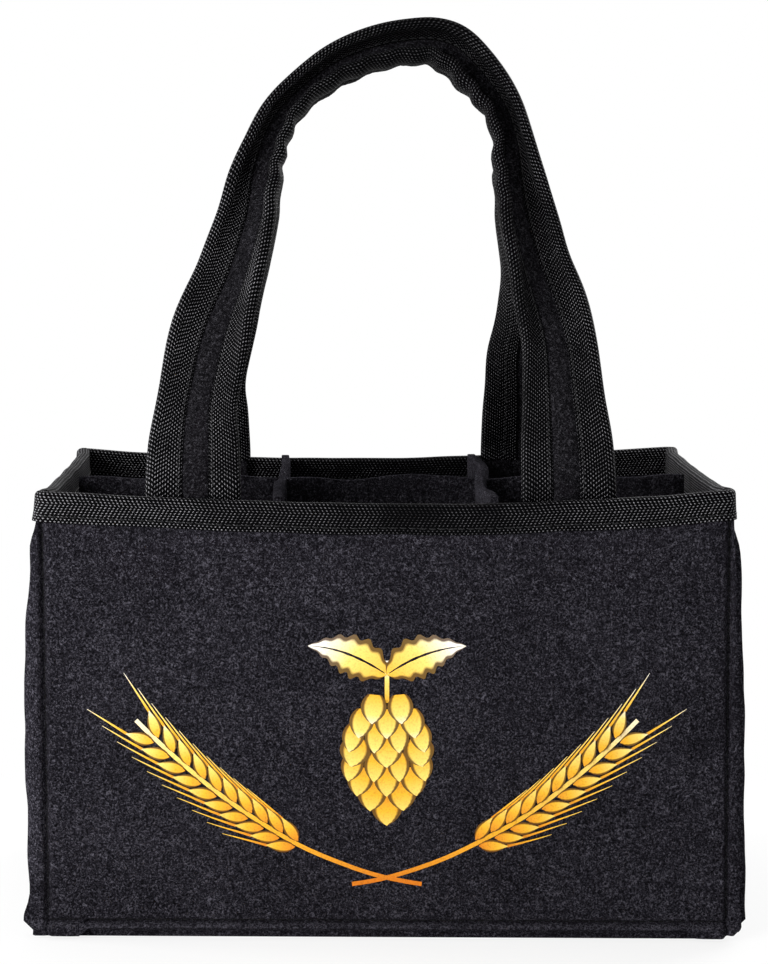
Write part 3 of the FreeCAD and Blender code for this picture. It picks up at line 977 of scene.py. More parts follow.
def divider_marks(meet):
    """Height shares of a divider's rows, with one at the slot's end and fine ones at the top."""
    return steps(0, (meet, 18), (TOP_ROWS, 18), (1, 4))


print("dividers", round(DIVIDER_HEIGHT / MM, 1), "mm high")

# %% Long divider
LONG_SWAY = 1.6 * MM
LONG_WAVE = (24 * MM, 2.2 * MM)
LONG_DIP = 0.4 * MM


def long_point(across, height):
    """Point of the long divider; beyond 1 either way it turns back along the side wall."""
    past = max(0.0, abs(across) - 1)
    if past == 0:
        x, y = LONG_REACH * across, 0.0
    elif past < TAB_TURN:
        angle = math.pi / 2 * past / TAB_TURN
        x = math.copysign(LONG_REACH + TAB_BEND * math.sin(angle), across)
        y = TAB_BEND * (1 - math.cos(angle))
    else:
        x = math.copysign(TAB_X, across)
        y = TAB_BEND + (TAB_END - TAB_BEND) * (past - TAB_TURN) / TAB_RUN
    if past == 0:
        y += LONG_SWAY * math.sin(math.pi * (x + CROSS_X) / (2 * CROSS_X)) * height ** 2
    wave = (ripple(x, 1.7, 0, *LONG_WAVE) - LONG_DIP) * height ** TOP_POWER
    return Vector((x, y, divider_rise(height) + wave))


def make_long_divider():
    near, far = ((CROSS_X + SLOT_HALF * hand) / LONG_REACH for hand in (-1, 1))
    turn, end = 1 + TAB_TURN, 1 + TAB_TURN + TAB_RUN
    columns = steps(-end, (-turn, 6), (-1, 5), (-far, 28), (-near, 2), (near, 28), (far, 2),
                    (1, 28), (turn, 5), (end, 6))
    piece = cloth_grid("long_divider_felt", columns, divider_marks(0.5), long_point)
    cut_away(piece, lambda c: c.z > SLOT_MEET and abs(abs(c.x) - CROSS_X) < SLOT_HALF)
    cut_away(piece, lambda c: c.z > TURN_TOP and abs(c.x) > TAB_X - TAB_BEND / 2)
    thicken(piece, DIVIDER_FELT, round_edge=DIVIDER_EDGE)
    return piece


long_felt = sew_on(make_long_divider(), divider_felt, "divider_felt", "long_divider")

# %% Cross dividers
CROSS_SWAY = {1: 3 * MM, -1: 1 * MM}
CROSS_WAVE = (26 * MM, 2.4 * MM)
CROSS_RAISE = 0.6 * MM


def cross_point(across, height, side):
    y = CROSS_END * across
    sway = CROSS_SWAY[side] * math.sin(math.pi * across) * height ** 2
    wave = (ripple(side * 2.3, y, 0, *CROSS_WAVE) + CROSS_RAISE) * height ** TOP_POWER
    return Vector((side * CROSS_X + sway, y, divider_rise(height) + wave))


def make_cross_divider(name, side):
    slot = SLOT_HALF / CROSS_END
    meet = 0.5 + PLAY / DIVIDER_HEIGHT
    columns = steps(-1, (-slot, 30), (slot, 2), (1, 30))
    piece = cloth_grid(name, columns, divider_marks(meet), lambda a, h: cross_point(a, h, side))
    cut_away(piece, lambda c: c.z < divider_rise(meet) and abs(c.y) < SLOT_HALF)
    thicken(piece, DIVIDER_FELT, round_edge=DIVIDER_EDGE)
    return piece


cross_felts = []
for where, side in (("left", -1), ("right", 1)):
    divider = make_cross_divider(f"{where}_cross_felt", side)
    cross_felts.append(sew_on(divider, divider_felt, "divider_felt", f"{where}_cross_divider"))

# %% [markdown]
# The rim is bound with tape folded over the raw edge: down one face, over the top, down the other.
# A cross-section of that fold, as a list of points with their distance along the tape's width, is
# carried along each wall's sagging top edge.

# %% Rim fold
TAPE = 0.8 * MM
TAPE_LEG = RIM - TAPE_FOOT
TAPE_EDGE = 0.15 * MM
FOLD_RADIUS = 1.3 * MM
FOLD_ROWS = 8
FOLD_TURNS = 4
FOLD_TOP = TAPE * 0.6


def fold_profile(half, leg, radius):
    """Middle layer of the folded tape: (outward, up from the felt's edge) for each point."""
    top = FOLD_TOP
    points = [(half, -leg + (leg - radius + top) * row / FOLD_ROWS) for row in range(FOLD_ROWS + 1)]
    for corner in range(1, FOLD_TURNS + 1):
        angle = math.pi / 2 * corner / FOLD_TURNS
        points.append((half - radius + radius * math.cos(angle),
                       top - radius + radius * math.sin(angle)))
    points.append((0, top))
    return points + [(-out, up) for out, up in points[-2::-1]]


def run_lengths(points):
    total, marks = 0.0, [0.0]
    for start, end in zip(points, points[1:]):
        total += math.dist(start, end)
        marks.append(total)
    return marks


RIM_FOLD = fold_profile(FELT / 2 + TAPE / 2, TAPE_LEG, FOLD_RADIUS)
RIM_FOLD_MARKS = run_lengths(RIM_FOLD)
fold_at = dict(zip(RIM_FOLD_MARKS, RIM_FOLD))
print("rim tape's flat width", round(RIM_FOLD_MARKS[-1] / MM, 2), "mm")

# %% Rim tapes
CORNER_STRETCH = 1 + (FELT + TAPE) / 2 / CORNER_RADIUS
FLARE_TOP = {1: 0.2 * MM, -1: 0.4 * MM}
FLARE_FOOT = {1: 0.6 * MM, -1: 1.3 * MM}
FLARE_RUN = 4 * MM
TAPE_WAVE = (17 * MM, 0.35 * MM)
LOOSE_LIFT = 0.15 * MM
LOOSE_REACH = 2.5
LOOSE_WAVE = (12 * MM, 0.35 * MM)
FELT_BELOW = RIM - 2 * MM
FINE_END = 6 * MM
FRONT_TAPE_HALF = rim_tape_high.x
SIDE_TAPE_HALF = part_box("rim_binding_right")[1].y


def loose_edge(along, across, seed):
    """Small lift of the tape's two lower edges, where no stitch holds them."""
    low = min(across, RIM_FOLD_MARKS[-1] - across) / TAPE_LEG
    return (LOOSE_LIFT + ripple(along, seed, 0, *LOOSE_WAVE)) * ease(1 - low * LOOSE_REACH)


def front_tape_point(x, across, side):
    out, up = fold_at[across]
    bowed = front_depth(x, FELT_BELOW, side) - FACE
    turned, depth = round_corner(x, bowed + out + math.copysign(loose_edge(x, across, side), out))
    end = end_of(side * x)
    flare = FLARE_TOP[end] + (FLARE_FOOT[end] - FLARE_TOP[end]) * limited(-up / TAPE_LEG)
    turned += math.copysign(flare * ease((abs(x) - CORNER_START) / FLARE_RUN), x)
    wave = ripple(x, side * 4, up, *TAPE_WAVE)
    return Vector((side * turned, -side * depth, RIM + up - rim_dip(x) + wave))


def side_tape_point(y, across, side):
    out, up = fold_at[across]
    lifted = math.copysign(loose_edge(y, across, side * 7), out)
    x = side_depth(y, FELT_BELOW, side) + out + lifted
    wave = ripple(side * 6, y, up, *TAPE_WAVE)
    return Vector((side * x, side * y, RIM + up - side_dip(y) + wave))


def make_rim_tape(name, place, half, side):
    along = steps(-half, (-half + FINE_END, 10), (half - FINE_END, 76), (half, 10))
    piece = cloth_grid(name, along, RIM_FOLD_MARKS, lambda a, b: place(a, b, side))
    for mark in piece.data.uv_layers.active.data:
        past = abs(mark.uv.x) - CORNER_START
        if past > 0:
            mark.uv.x = math.copysign(CORNER_START + past * CORNER_STRETCH, mark.uv.x)
    thicken(piece, TAPE, round_edge=TAPE_EDGE)
    return piece


rim_tapes = {}
for where, place, half, side in (("front", front_tape_point, FRONT_TAPE_HALF, 1),
                                 ("back", front_tape_point, FRONT_TAPE_HALF, -1),
                                 ("right", side_tape_point, SIDE_TAPE_HALF, 1),
                                 ("left", side_tape_point, SIDE_TAPE_HALF, -1)):
    tape = make_rim_tape(f"{where}_rim_tape", place, half, side)
    rim_tapes[where] = sew_on(tape, woven_tape, "woven_tape", f"rim_binding_{where}")

# %% [markdown]
# A handle is one long strap of felt, sewn flat behind the rim at both ends and rolled towards a
# half tube where a hand takes it. The table holds the strap's line as the photograph shows it:
# across and up as shares of the loop's size, how far the strap is rolled there, and how far its
# width is squeezed. A smooth curve runs through the stations.

# %% Handle line
HANDLES = (("front", 1), ("rear", -1))
HALF_SPACING = 64.25 * MM
HANDLE_RISE = 167.5 * MM
BASE_ROLL = math.radians(2)
GRIP_ROLL = math.radians(120)
TAIL = 14 * MM
TAIL_STEPS = 8
STEPS_EACH = 6
BEND_STEPS = 24
LINE_STATIONS = (
    (-1.005, 0.000, 0.00, 1.00), (-1.003, 0.100, 0.04, 0.96), (-0.985, 0.200, 0.15, 0.86),
    (-0.908, 0.350, 0.35, 0.97), (-0.790, 0.480, 0.52, 0.97), (-0.715, 0.590, 0.70, 0.97),
    (-0.682, 0.685, 0.88, 0.92), (-0.636, 0.755, 0.97, 0.80), (-0.555, 0.830, 1.00, 0.71),
    (-0.440, 0.888, 1.00, 0.66), (-0.281, 0.942, 1.00, 0.72), (-0.121, 0.977, 1.00, 0.78),
    (0.054, 1.001, 1.00, 0.81), (0.240, 1.011, 1.00, 0.84), (0.348, 1.005, 1.00, 0.90),
    (0.438, 0.986, 1.00, 0.92), (0.530, 0.945, 1.00, 0.90), (0.626, 0.891, 1.00, 0.83),
    (0.697, 0.840, 1.00, 0.74), (0.743, 0.770, 0.97, 0.77), (0.768, 0.690, 0.88, 0.90),
    (0.803, 0.591, 0.70, 0.98), (0.842, 0.510, 0.57, 0.96), (0.905, 0.415, 0.42, 0.97),
    (0.965, 0.310, 0.27, 0.86), (0.985, 0.200, 0.15, 0.88), (0.997, 0.100, 0.04, 0.97),
    (1.000, 0.000, 0.00, 1.00),
)


def between(before, start, end, after, share):
    """Catmull-Rom point between start and end."""
    a, b, c, d = (Vector(point) for point in (before, start, end, after))
    return 0.5 * (2 * b + (c - a) * share + (2 * a - 5 * b + 4 * c - d) * share ** 2
                  + (3 * b - a - 3 * c + d) * share ** 3)


def strap_line():
    """Stations along the strap: (centre x, height in the handle's plane, roll, squeeze)."""
    table, final = LINE_STATIONS, len(LINE_STATIONS) - 1
    first, last = table[0][0] * HALF_SPACING, table[final][0] * HALF_SPACING
    line = [(first, -TAIL * (1 - step / TAIL_STEPS), BASE_ROLL, 1.0) for step in range(TAIL_STEPS)]
    for index in range(final):
        before, after = table[max(index - 1, 0)], table[min(index + 2, final)]
        count = BEND_STEPS if index in (0, final - 1) else STEPS_EACH
        for step in range(count):
            share = between(before, table[index], table[index + 1], after, step / count)
            roll = BASE_ROLL + max(0.0, share.z) * (GRIP_ROLL - BASE_ROLL)
            line.append((share.x * HALF_SPACING, share.y * HANDLE_RISE, roll, share.w))
    return line + [(last, -TAIL * step / TAIL_STEPS, BASE_ROLL, 1.0)
                   for step in range(TAIL_STEPS + 1)]


LINE = strap_line()
LINE_MARKS = run_lengths([station[:2] for station in LINE])
STATION_AT = {mark: index for index, mark in enumerate(LINE_MARKS)}
print("strap length", round(LINE_MARKS[-1], 4), "m in", len(LINE), "stations")

# %% Bend over the rim
HANDLE_LEAN = math.radians(25.0)
TAIL_Y = -73.4 * MM
FLEX_Z = 155.7 * MM
BEND_START = -2 * MM
BEND_END = 6 * MM
HANG_STEP = 0.25 * MM
HANG_FOOT = -2 * TAIL
HANG_ROWS = 220


def hang_line():
    """Side view of the strap's bend over the rim: (height, y, z, angle), in small steps."""
    y, z, rows = TAIL_Y, FLEX_Z + HANG_FOOT, []
    for count in range(HANG_ROWS):
        height = HANG_FOOT + count * HANG_STEP
        angle = HANDLE_LEAN * ease((height - BEND_START) / (BEND_END - BEND_START))
        rows.append((height, y, z, angle))
        y += HANG_STEP * math.sin(angle)
        z += HANG_STEP * math.cos(angle)
    return rows


HANG = hang_line()


def hung(height, back):
    """(y, z) of a point at a height in the handle's plane and a depth behind it."""
    row = min(max(int((height - HANG_FOOT) / HANG_STEP), 0), HANG_ROWS - 1)
    start, y, z, angle = HANG[row]
    spare = height - start
    return (y + spare * math.sin(angle) + back * math.cos(angle),
            z + spare * math.cos(angle) - back * math.sin(angle))


print("handle leans", round(math.degrees(HANG[-1][3])), "degrees")

# %% [markdown]
# A point of the strap is known by its station, its distance from the middle of the width, and its
# depth behind the middle layer. The roll bends the width into an arc, the station's direction turns
# that arc across the strap's line, and the bend over the rim carries it into the bag's frame.

# %% Strap shape
STRAP_WIDTH = 30 * MM
STRAP_HALF = STRAP_WIDTH / 2
LEG_TURN = math.radians(-25)
LEG_RISE = (0.2, 0.3)
TOP_TURN = math.radians(5)
TOP_RISE = (0.6, 0.2)
GATHER_LENGTH = 2.0 * MM
GATHER_HEIGHT = 0.9 * MM
GATHER_DRIFT = 25 * MM
GATHER_SWING = 3
GATHER_RISE = (0.55, 0.2)
FREE_GAIN = 2.8
SIDE_RIPPLE = (30 * MM, 0.7 * MM)
DEPTH_RIPPLE = (26 * MM, 0.6 * MM)
HANDLE_SHIFT = -1.6 * MM
REAR_SLIDE = {1: 5.5 * MM, -1: 1.0 * MM}
SLIDE_RISE = (0.22, 0.26)
REAR_HIDE = {1: 3.6 * MM, -1: -0.6 * MM}
HIDE_RISE = (0.25, 0.2)
HIDE_END = (0.86, 0.12)


def station_facts(index):
    before, after = LINE[max(index - 1, 0)], LINE[min(index + 1, len(LINE) - 1)]
    ahead = Vector((after[0] - before[0], after[1] - before[1])).normalized()
    return LINE[index], Vector((-ahead.y, ahead.x))


STATION_FACTS = [station_facts(index) for index in range(len(LINE))]


def risen(share, start, run):
    """0 up to the start and 1 from a run above it."""
    return ease((share - start) / run)


def section_turn(share):
    """Turn of the section about the strap's line, by height share: the inner edge comes forward."""
    return LEG_TURN * risen(share, *LEG_RISE) + (TOP_TURN - LEG_TURN) * risen(share, *TOP_RISE)


def gathers(mark, share, along, side):
    """The inner half is too long for the tight curve and gathers into small waves."""
    inner = ease(-along / STRAP_HALF) * risen(share, *GATHER_RISE)
    drift = GATHER_SWING * noise.noise(Vector((mark / GATHER_DRIFT, 1, side)))
    return GATHER_HEIGHT * inner * math.sin(mark / GATHER_LENGTH + drift)


def slid(x, share, side):
    """Sideways shift: the rear handle has slid to the left at its foot."""
    if side > 0:
        return HANDLE_SHIFT
    end = end_of(x)
    low = 1 - risen(share, *SLIDE_RISE)
    middle = risen(share, *HIDE_RISE) - risen(share, *HIDE_END)
    return HANDLE_SHIFT - REAR_SLIDE[end] * low + REAR_HIDE[end] * middle


def strap_point(index, along, depth, side):
    """Point of a handle; side is 1 for the front one and -1 for the rear one."""
    (x, height, roll, squeeze), outward = STATION_FACTS[index]
    mark, share = LINE_MARKS[index], height / HANDLE_RISE
    radius = STRAP_HALF / roll
    centre = STRAP_HALF * roll / GRIP_ROLL ** 2
    angle, turn = along / radius, section_turn(share)
    reach = radius + depth + gathers(mark, share, along, side)
    flat, deep = reach * math.sin(angle), reach * math.cos(angle) - radius + centre
    free = ease(share * FREE_GAIN)
    offset = squeeze * (flat * math.cos(turn) + deep * math.sin(turn))
    offset += ripple(mark, side * 2, along, *SIDE_RIPPLE) * free
    back = deep * math.cos(turn) - flat * math.sin(turn) - centre
    back += ripple(mark, side * 5, along, *DEPTH_RIPPLE) * free
    y, z = hung(height + outward.y * offset, back)
    return Vector((x + outward.x * offset + slid(x, share, side), side * y, z))


# %% Straps
STRAP_FELT = 3 * MM
FRONT_LEG = {1: 11.0 * MM, -1: 9.4 * MM}
PUFF = 1.0 * MM
PUFF_START = 0.3 * MM
PUFF_RUN = {1: 3.0 * MM, -1: 1.6 * MM}


def puffed(along):
    """How far the felt swells between the two tapes, which hold it down along its edges."""
    share = 1.0
    for edge in (1, -1):
        inside = STRAP_HALF - FRONT_LEG[edge] - edge * along
        share *= ease((inside - PUFF_START) / PUFF_RUN[edge])
    return PUFF * share


def make_strap(name, side):
    low, high = FRONT_LEG[-1] - STRAP_HALF, STRAP_HALF - FRONT_LEG[1]
    width = steps(-STRAP_HALF, (low, 6), (low + PUFF_START, 1),
                  (low + PUFF_START + PUFF_RUN[-1], 4), (high - PUFF_START - PUFF_RUN[1], 3),
                  (high - PUFF_START, 4), (high, 1), (STRAP_HALF, 6))
    piece = cloth_grid(name, LINE_MARKS, width,
                       lambda m, w: strap_point(STATION_AT[m], w, -puffed(w), side))
    thicken(piece, STRAP_FELT, round_edge=0.3 * MM)
    return piece


def hinge(piece, side):
    """Bakes the piece's transform into its mesh; the strap's bend above the rim is already in its
    shape.
    """
    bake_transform(piece)


straps = {}
for where, side in HANDLES:
    strap = make_strap(f"{where}_strap", side)
    dress(strap, strap_felt, "strap_felt", f"{where}_handle_strap", f"{where}_handle_tails")
    hinge(strap, side)
    straps[where] = strap

# %% [markdown]
# Both edges of a strap are bound with the same tape, folded round the edge, a little off its middle
# at the inner edge. On the inside of the loop the tape is too long for the tighter curve, so it
# ripples where the strap bends over the grip.

# %% Strap tapes
STRAP_FOLD_DEPTH = STRAP_FELT / 2 + TAPE / 2
BOTH_LEGS = 22 * MM
TURN_IN = 0.9 * MM
TURN_ROWS = 10
TAPE_SKIP = 6


def edge_profile(front_leg):
    """Tape round the strap's edge: (along the width, depth), from the inner to the outer face."""
    depth, turn = STRAP_FOLD_DEPTH, STRAP_HALF - TURN_IN
    back = [(along, depth) for along in steps(STRAP_HALF - BOTH_LEGS + front_leg, (turn, 8))]
    front = [(along, -depth) for along in steps(turn, (STRAP_HALF - front_leg, 8))]
    angles = [math.pi * row / TURN_ROWS for row in range(1, TURN_ROWS)]
    bend = [(turn + depth * math.sin(angle), depth * math.cos(angle)) for angle in angles]
    return back + bend + front


EDGE_FOLDS = {}
for edge in (1, -1):
    fold = edge_profile(FRONT_LEG[edge])
    EDGE_FOLDS[edge] = dict(zip(run_lengths(fold), fold))
    print("strap tape's flat width", round(max(EDGE_FOLDS[edge]) / MM, 2), "mm")


def tape_on_strap(mark, across, edge, side):
    """Point of a strap's edge tape; edge is 1 for the outer edge and -1 for the inner one."""
    along, depth = EDGE_FOLDS[edge][across]
    return strap_point(STATION_AT[mark], edge * along, depth, side)


def make_strap_tape(name, edge, side):
    piece = cloth_grid(name, LINE_MARKS[TAPE_SKIP:-TAPE_SKIP], list(EDGE_FOLDS[edge]),
                       lambda m, w: tape_on_strap(m, w, edge, side))
    thicken(piece, TAPE, round_edge=TAPE_EDGE)
    return piece


strap_tapes = {}
for where, side in HANDLES:
    for edge_name, edge in (("outer", 1), ("inner", -1)):
        tape = make_strap_tape(f"{where}_strap_{edge_name}_tape", edge, side)
        dress(tape, woven_tape, "woven_tape", f"{where}_handle_{edge_name}_binding")
        hinge(tape, side)
        strap_tapes[where, edge_name] = tape

# %% [markdown]
# All seams are lock stitches in black thread. One stitch is a small rounded bead, made from a
# sphere with few faces, stretched along the seam. Each seam is a row of copies that lie on the
# cloth's surface.

# %% Stitches
STITCH_LENGTH = 2.6 * MM
STITCH_PITCH = 3.3 * MM
STITCH_WIDTH = 0.62 * MM


def one_stitch():
    """Corner points and faces of a single stitch that lies along X."""
    bpy.ops.object.select_all(action="DESELECT")
    bpy.ops.mesh.primitive_uv_sphere_add(segments=6, ring_count=4, radius=0.5,
                                         rotation=(0, math.pi / 2, 0))
    bead = bpy.context.active_object
    bead.scale = (STITCH_WIDTH, STITCH_WIDTH, STITCH_LENGTH)
    bpy.ops.object.transform_apply(location=True, rotation=True, scale=True)
    points = [point.co.copy() for point in bead.data.vertices]
    faces = [list(face.vertices) for face in bead.data.polygons]
    bpy.data.objects.remove(bead)
    return points, faces


STITCH_POINTS, STITCH_FACES = one_stitch()


def lay_stitches(line, normal_at):
    """Places for stitches along a line of points: middle, direction and outward normal."""
    marks = run_lengths(line)
    places, reach, index = [], STITCH_PITCH / 2, 0
    while reach < marks[-1]:
        while marks[index + 1] < reach:
            index += 1
        share = (reach - marks[index]) / (marks[index + 1] - marks[index])
        middle = line[index].lerp(line[index + 1], share)
        places.append((middle, (line[index + 1] - line[index]).normalized(), normal_at(middle)))
        reach += STITCH_PITCH
    return places


def sew(name, places):
    """One mesh with a stitch at every place."""
    points, faces = [], []
    for middle, ahead, outward in places:
        across = outward.cross(ahead).normalized()
        turn = Matrix((ahead, across, ahead.cross(across))).transposed()
        first = len(points)
        points += [middle + turn @ point for point in STITCH_POINTS]
        faces += [[first + corner for corner in face] for face in STITCH_FACES]
    mesh = bpy.data.meshes.new(name)
    mesh.from_pydata(points, [], faces)
    piece = bpy.data.objects.new(name, mesh)
    bpy.context.scene.collection.objects.link(piece)
    pick(piece)
    bpy.ops.object.shade_smooth()
    print(name, len(places), "stitches")
    return piece


# %% Bag seams
STITCH_LIFT = 0.12 * MM
RIM_STITCH_UP = 2.3 * MM
BOTTOM_ROW_HALF = 72 * MM
TAB_STITCH_Y = 8.5 * MM
MARK_GAP = 2 * MM


def facing(x, y):
    return lambda middle: Vector((x, y, 0))


def marks_between(start, end):
    count = max(2, int((end - start) / MARK_GAP))
    return [start + (end - start) * step / count for step in range(count + 1)]


def wall_face(y, z, side):
    """Where a stitch lies on a side wall's outer face, before its groove."""
    return side_depth(y, z, side) + FELT / 2


def rim_rows(side):
    places = []
    lift = TAPE / 2 + STITCH_LIFT
    for height, outward in ((RIM_STITCH_UP, 1), (RIM_FOLD_MARKS[-1] - RIM_STITCH_UP, -1)):
        across = min(RIM_FOLD_MARKS, key=lambda mark: abs(mark - height))
        for place, half, x, y in ((front_tape_point, FRONT_TAPE_HALF, 0, -side * outward),
                                  (side_tape_point, SIDE_TAPE_HALF, side * outward, 0)):
            line = [place(mark, across, side) + Vector((x, y, 0)) * lift
                    for mark in marks_between(-half + MM, half - MM)]
            places += lay_stitches(line, facing(x, y))
    return places


def bottom_rows(side):
    front = [Vector((x, -side * (front_depth(side * x, SEAM_Z, side) + STITCH_LIFT), SEAM_Z))
             for x in marks_between(-SEAM_X, SEAM_X)]
    wall = []
    for y in marks_between(-BOTTOM_ROW_HALF, BOTTOM_ROW_HALF):
        x = wall_face(y, SEAM_Z, side) - side_groove(y, SEAM_Z) + STITCH_LIFT
        wall.append(Vector((side * x, side * y, SEAM_Z)))
    return lay_stitches(front, facing(0, -side)) + lay_stitches(wall, facing(side, 0))


def corner_rows(side):
    places = []
    for x in (SEAM_X, -SEAM_X):
        line = []
        for z in marks_between(SEAM_Z + 2 * MM, TAPE_FOOT - MM):
            depth = front_depth(x, z, side) + STITCH_LIFT
            line.append(Vector((side * x, -side * depth, sunk_to(x, z, side))))
        places += lay_stitches(line, facing(0, -side))
    return places


def divider_rows(side):
    line = []
    for z in marks_between(DIVIDER_FOOT + 2 * MM, TURN_TOP - 2 * MM):
        x = wall_face(side * TAB_STITCH_Y, z, side) + STITCH_LIFT
        line.append(Vector((side * x, TAB_STITCH_Y, z)))
    return lay_stitches(line, facing(side, 0))


for seam, rows in (("rim", rim_rows), ("bottom", bottom_rows),
                   ("corner", corner_rows), ("divider", divider_rows)):
    stitches = sew(f"{seam}_stitches", rows(1) + rows(-1))
    sew_on(stitches, seam_thread, "seam_thread", f"{seam}_seam_thread")

# %% [markdown]
# On the handles a row of stitches runs along the inner edge of every tape, on both faces, and holds
# the tape to the felt.

# %% Handle seams
STRAP_STITCH_IN = 1.3 * MM
STITCH_SKIP = 7


def strap_rows(side):
    places = []
    depth = STRAP_FOLD_DEPTH + TAPE / 2
    stations = range(STITCH_SKIP, len(LINE) - STITCH_SKIP)
    for edge in (1, -1):
        along = edge * (STRAP_HALF - FRONT_LEG[edge] + STRAP_STITCH_IN)
        inner = [strap_point(index, along, 0.0, side) for index in stations]
        for face in (1, -1):
            line = [strap_point(index, along, face * depth, side) for index in stations]
            known = list(zip(line, inner))

            def nearest(middle):
                place, spot = min(known, key=lambda pair: (pair[0] - middle).length_squared)
                return (place - spot).normalized()

            places += lay_stitches(line, nearest)
    return places


for where, side in HANDLES:
    stitches = sew(f"{where}_handle_stitches", strap_rows(side))
    dress(stitches, seam_thread, "seam_thread")
    hinge(stitches, side)

# %% [markdown]
# The front carries a print, a thin coloured film pressed onto the felt. It is a plain country
# motif: two ears of barley that spread from the middle, and a cone of hops with two leaves between
# them. A film could be painted in the felt's own finish, but here each kernel, awn, scale and leaf
# is a small piece of film of its own, laid on the bulging panel a tenth of a millimetre in front of
# it, so that its outline stays sharp from any distance.

# %% Print finish
INK_LOW = 20 * MM
INK_HIGH = 100 * MM
INK_STOPS = ((0.05, (0.62, 0.17, 0.008)), (0.42, (0.83, 0.42, 0.025)), (0.72, (0.93, 0.66, 0.16)),
             (0.95, (0.95, 0.90, 0.78)))
OUTLINE_INK = (0.055, 0.018, 0.004, 1)
OUTLINE_START = 0.62
OUTLINE_STEEPNESS = 6.0
OUTLINE_DEPTH = 0.9
FADE_SHARE = 0.5
NAP_GAIN = 3.0
NAP_SHARES = (-0.5, 0.25)
INK_BUMP = (0.35, 0.4 * MM)


def ink_finish():
    finish, tree, shader = new_finish("print_film")
    place = coordinates(tree)
    shape = parts_of(tree, coordinates(tree, "UV"))
    rise = number(tree, "SUBTRACT", parts_of(tree, place)["Z"], INK_LOW)
    rise = number(tree, "DIVIDE", rise, INK_HIGH - INK_LOW)
    fade = number(tree, "MULTIPLY_ADD", shape["Y"], FADE_SHARE,
                  number(tree, "MULTIPLY", rise, FADE_SHARE), clamp=True)
    edge = number(tree, "SUBTRACT", number(tree, "ABSOLUTE", shape["X"]), OUTLINE_START)
    line = number(tree, "MULTIPLY", edge, OUTLINE_STEEPNESS, clamp=True)
    nap = noise_at(tree, place, *FINE_GRAIN)
    gaps = number(tree, "MULTIPLY_ADD", stretched(tree, nap, NAP_GAIN), *NAP_SHARES, clamp=True)
    mix = tree.nodes.new("ShaderNodeMix")
    mix.data_type = "RGBA"
    dark = number(tree, "MAXIMUM", number(tree, "MULTIPLY", line, OUTLINE_DEPTH), gaps)
    tree.links.new(dark, mix.inputs["Factor"])
    tree.links.new(tone(tree, fade, *INK_STOPS), mix.inputs["A"])
    mix.inputs["B"].default_value = OUTLINE_INK
    tree.links.new(mix.outputs["Result"], shader.inputs["Base Color"])
    set_inputs(shader, {"Roughness": 0.6, "Specular IOR Level": 0.15})
    raise_surface(tree, shader, nap, *INK_BUMP)
    return finish


print_film = ink_finish()
print("print finish", print_film.name)

# %% Print shapes
FILM = 0.12 * MM
FILM_LIFT = 0.14 * MM
LAYER = 0.03 * MM
TIP = 0.10 * MM
LOOK_AHEAD = 0.01
OUTLINED = (-1.0, 1.0)
PLAIN = (-0.6, 0.6)
STALK_HALF = 1.25 * MM


def on_front(x, z, layer):
    """Point just in front of the front panel's felt, on one of the print's thin layers."""
    return Vector((x, -front_depth(x, z) - FILM_LIFT - layer * LAYER, sunk_to(x, z, 1)))


def heading_at(line, v):
    ahead = line(min(v + LOOK_AHEAD, 1.0)) - line(max(v - LOOK_AHEAD, 0.0))
    return ahead.normalized()


def film(centre, half, span, layer=0, across=4, along=8):
    """Film along a centre line: half(v) is its half width, span the part of it that is covered."""
    def place(u, v):
        ahead = heading_at(centre, v)
        spot = centre(v) + Vector((-ahead.y, ahead.x)) * (half(v) * u)
        return on_front(spot.x, spot.y, layer)
    return cloth_grid("film", steps(span[0], (span[1], across)), steps(0.0, (1.0, along)), place)


def straight(base, angle, length):
    ahead = Vector((math.cos(angle), math.sin(angle)))
    return lambda v: base + ahead * (length * v)


def stalk_shape(v):
    return STALK_HALF


def seed_shape(width):
    return lambda v: TIP + width / 2 * math.sin(math.pi * v ** 0.8)


def scale_shape(width):
    return lambda v: TIP + width / 2 * math.sin(math.pi * (0.14 + 0.86 * v)) ** 0.75


def leaf_shape(width):
    return lambda v: (TIP + width / 2 * math.sin(math.pi * v ** 0.7)
                      * (1 + 0.13 * math.sin(13 * math.pi * v)))


def needle_shape(width):
    return lambda v: TIP + width / 2 * (1 - v)


# %% Barley
EAR_START = 0.44
EAR_END = 0.93
EAR_PAIRS = 9
KERNEL_TURN = math.radians(27)
KERNEL_OUT = 1.2 * MM
KERNEL_LENGTH = 10 * MM
KERNEL_WIDTH = 4.3 * MM
AWN_ROOT = 0.96
AWN_TURN = math.radians(13)
AWN_LENGTH = 16 * MM
AWN_WIDTH = 1.3 * MM
STALK_LAYERS = {1: 0, -1: 5}
AWN_LAYER = 7
KERNEL_LAYER = 8


def stalk(side):
    """Centre line of the right (1) or left (-1) ear and its stalk, which cross near their feet."""
    return lambda v: Vector((side * (-12 + 98 * v), 20 + 14 * v + 44 * v * v)) * MM


def make_ear(side):
    line = stalk(side)
    films = [film(line, stalk_shape, PLAIN, STALK_LAYERS[side], 2, 30)]
    for pair in range(EAR_PAIRS + 1):
        at = EAR_START + (EAR_END - EAR_START) * pair / EAR_PAIRS
        ahead = heading_at(line, at)
        heading = math.atan2(ahead.y, ahead.x)
        for hand in (1, -1):
            base = line(at) + Vector((-ahead.y, ahead.x)) * (hand * KERNEL_OUT)
            kernel = straight(base, heading + hand * KERNEL_TURN, KERNEL_LENGTH)
            films.append(film(kernel, seed_shape(KERNEL_WIDTH), OUTLINED, KERNEL_LAYER + pair))
            awn = straight(kernel(AWN_ROOT), heading + hand * AWN_TURN, AWN_LENGTH)
            films.append(film(awn, needle_shape(AWN_WIDTH), PLAIN, AWN_LAYER, 2, 6))
    return films


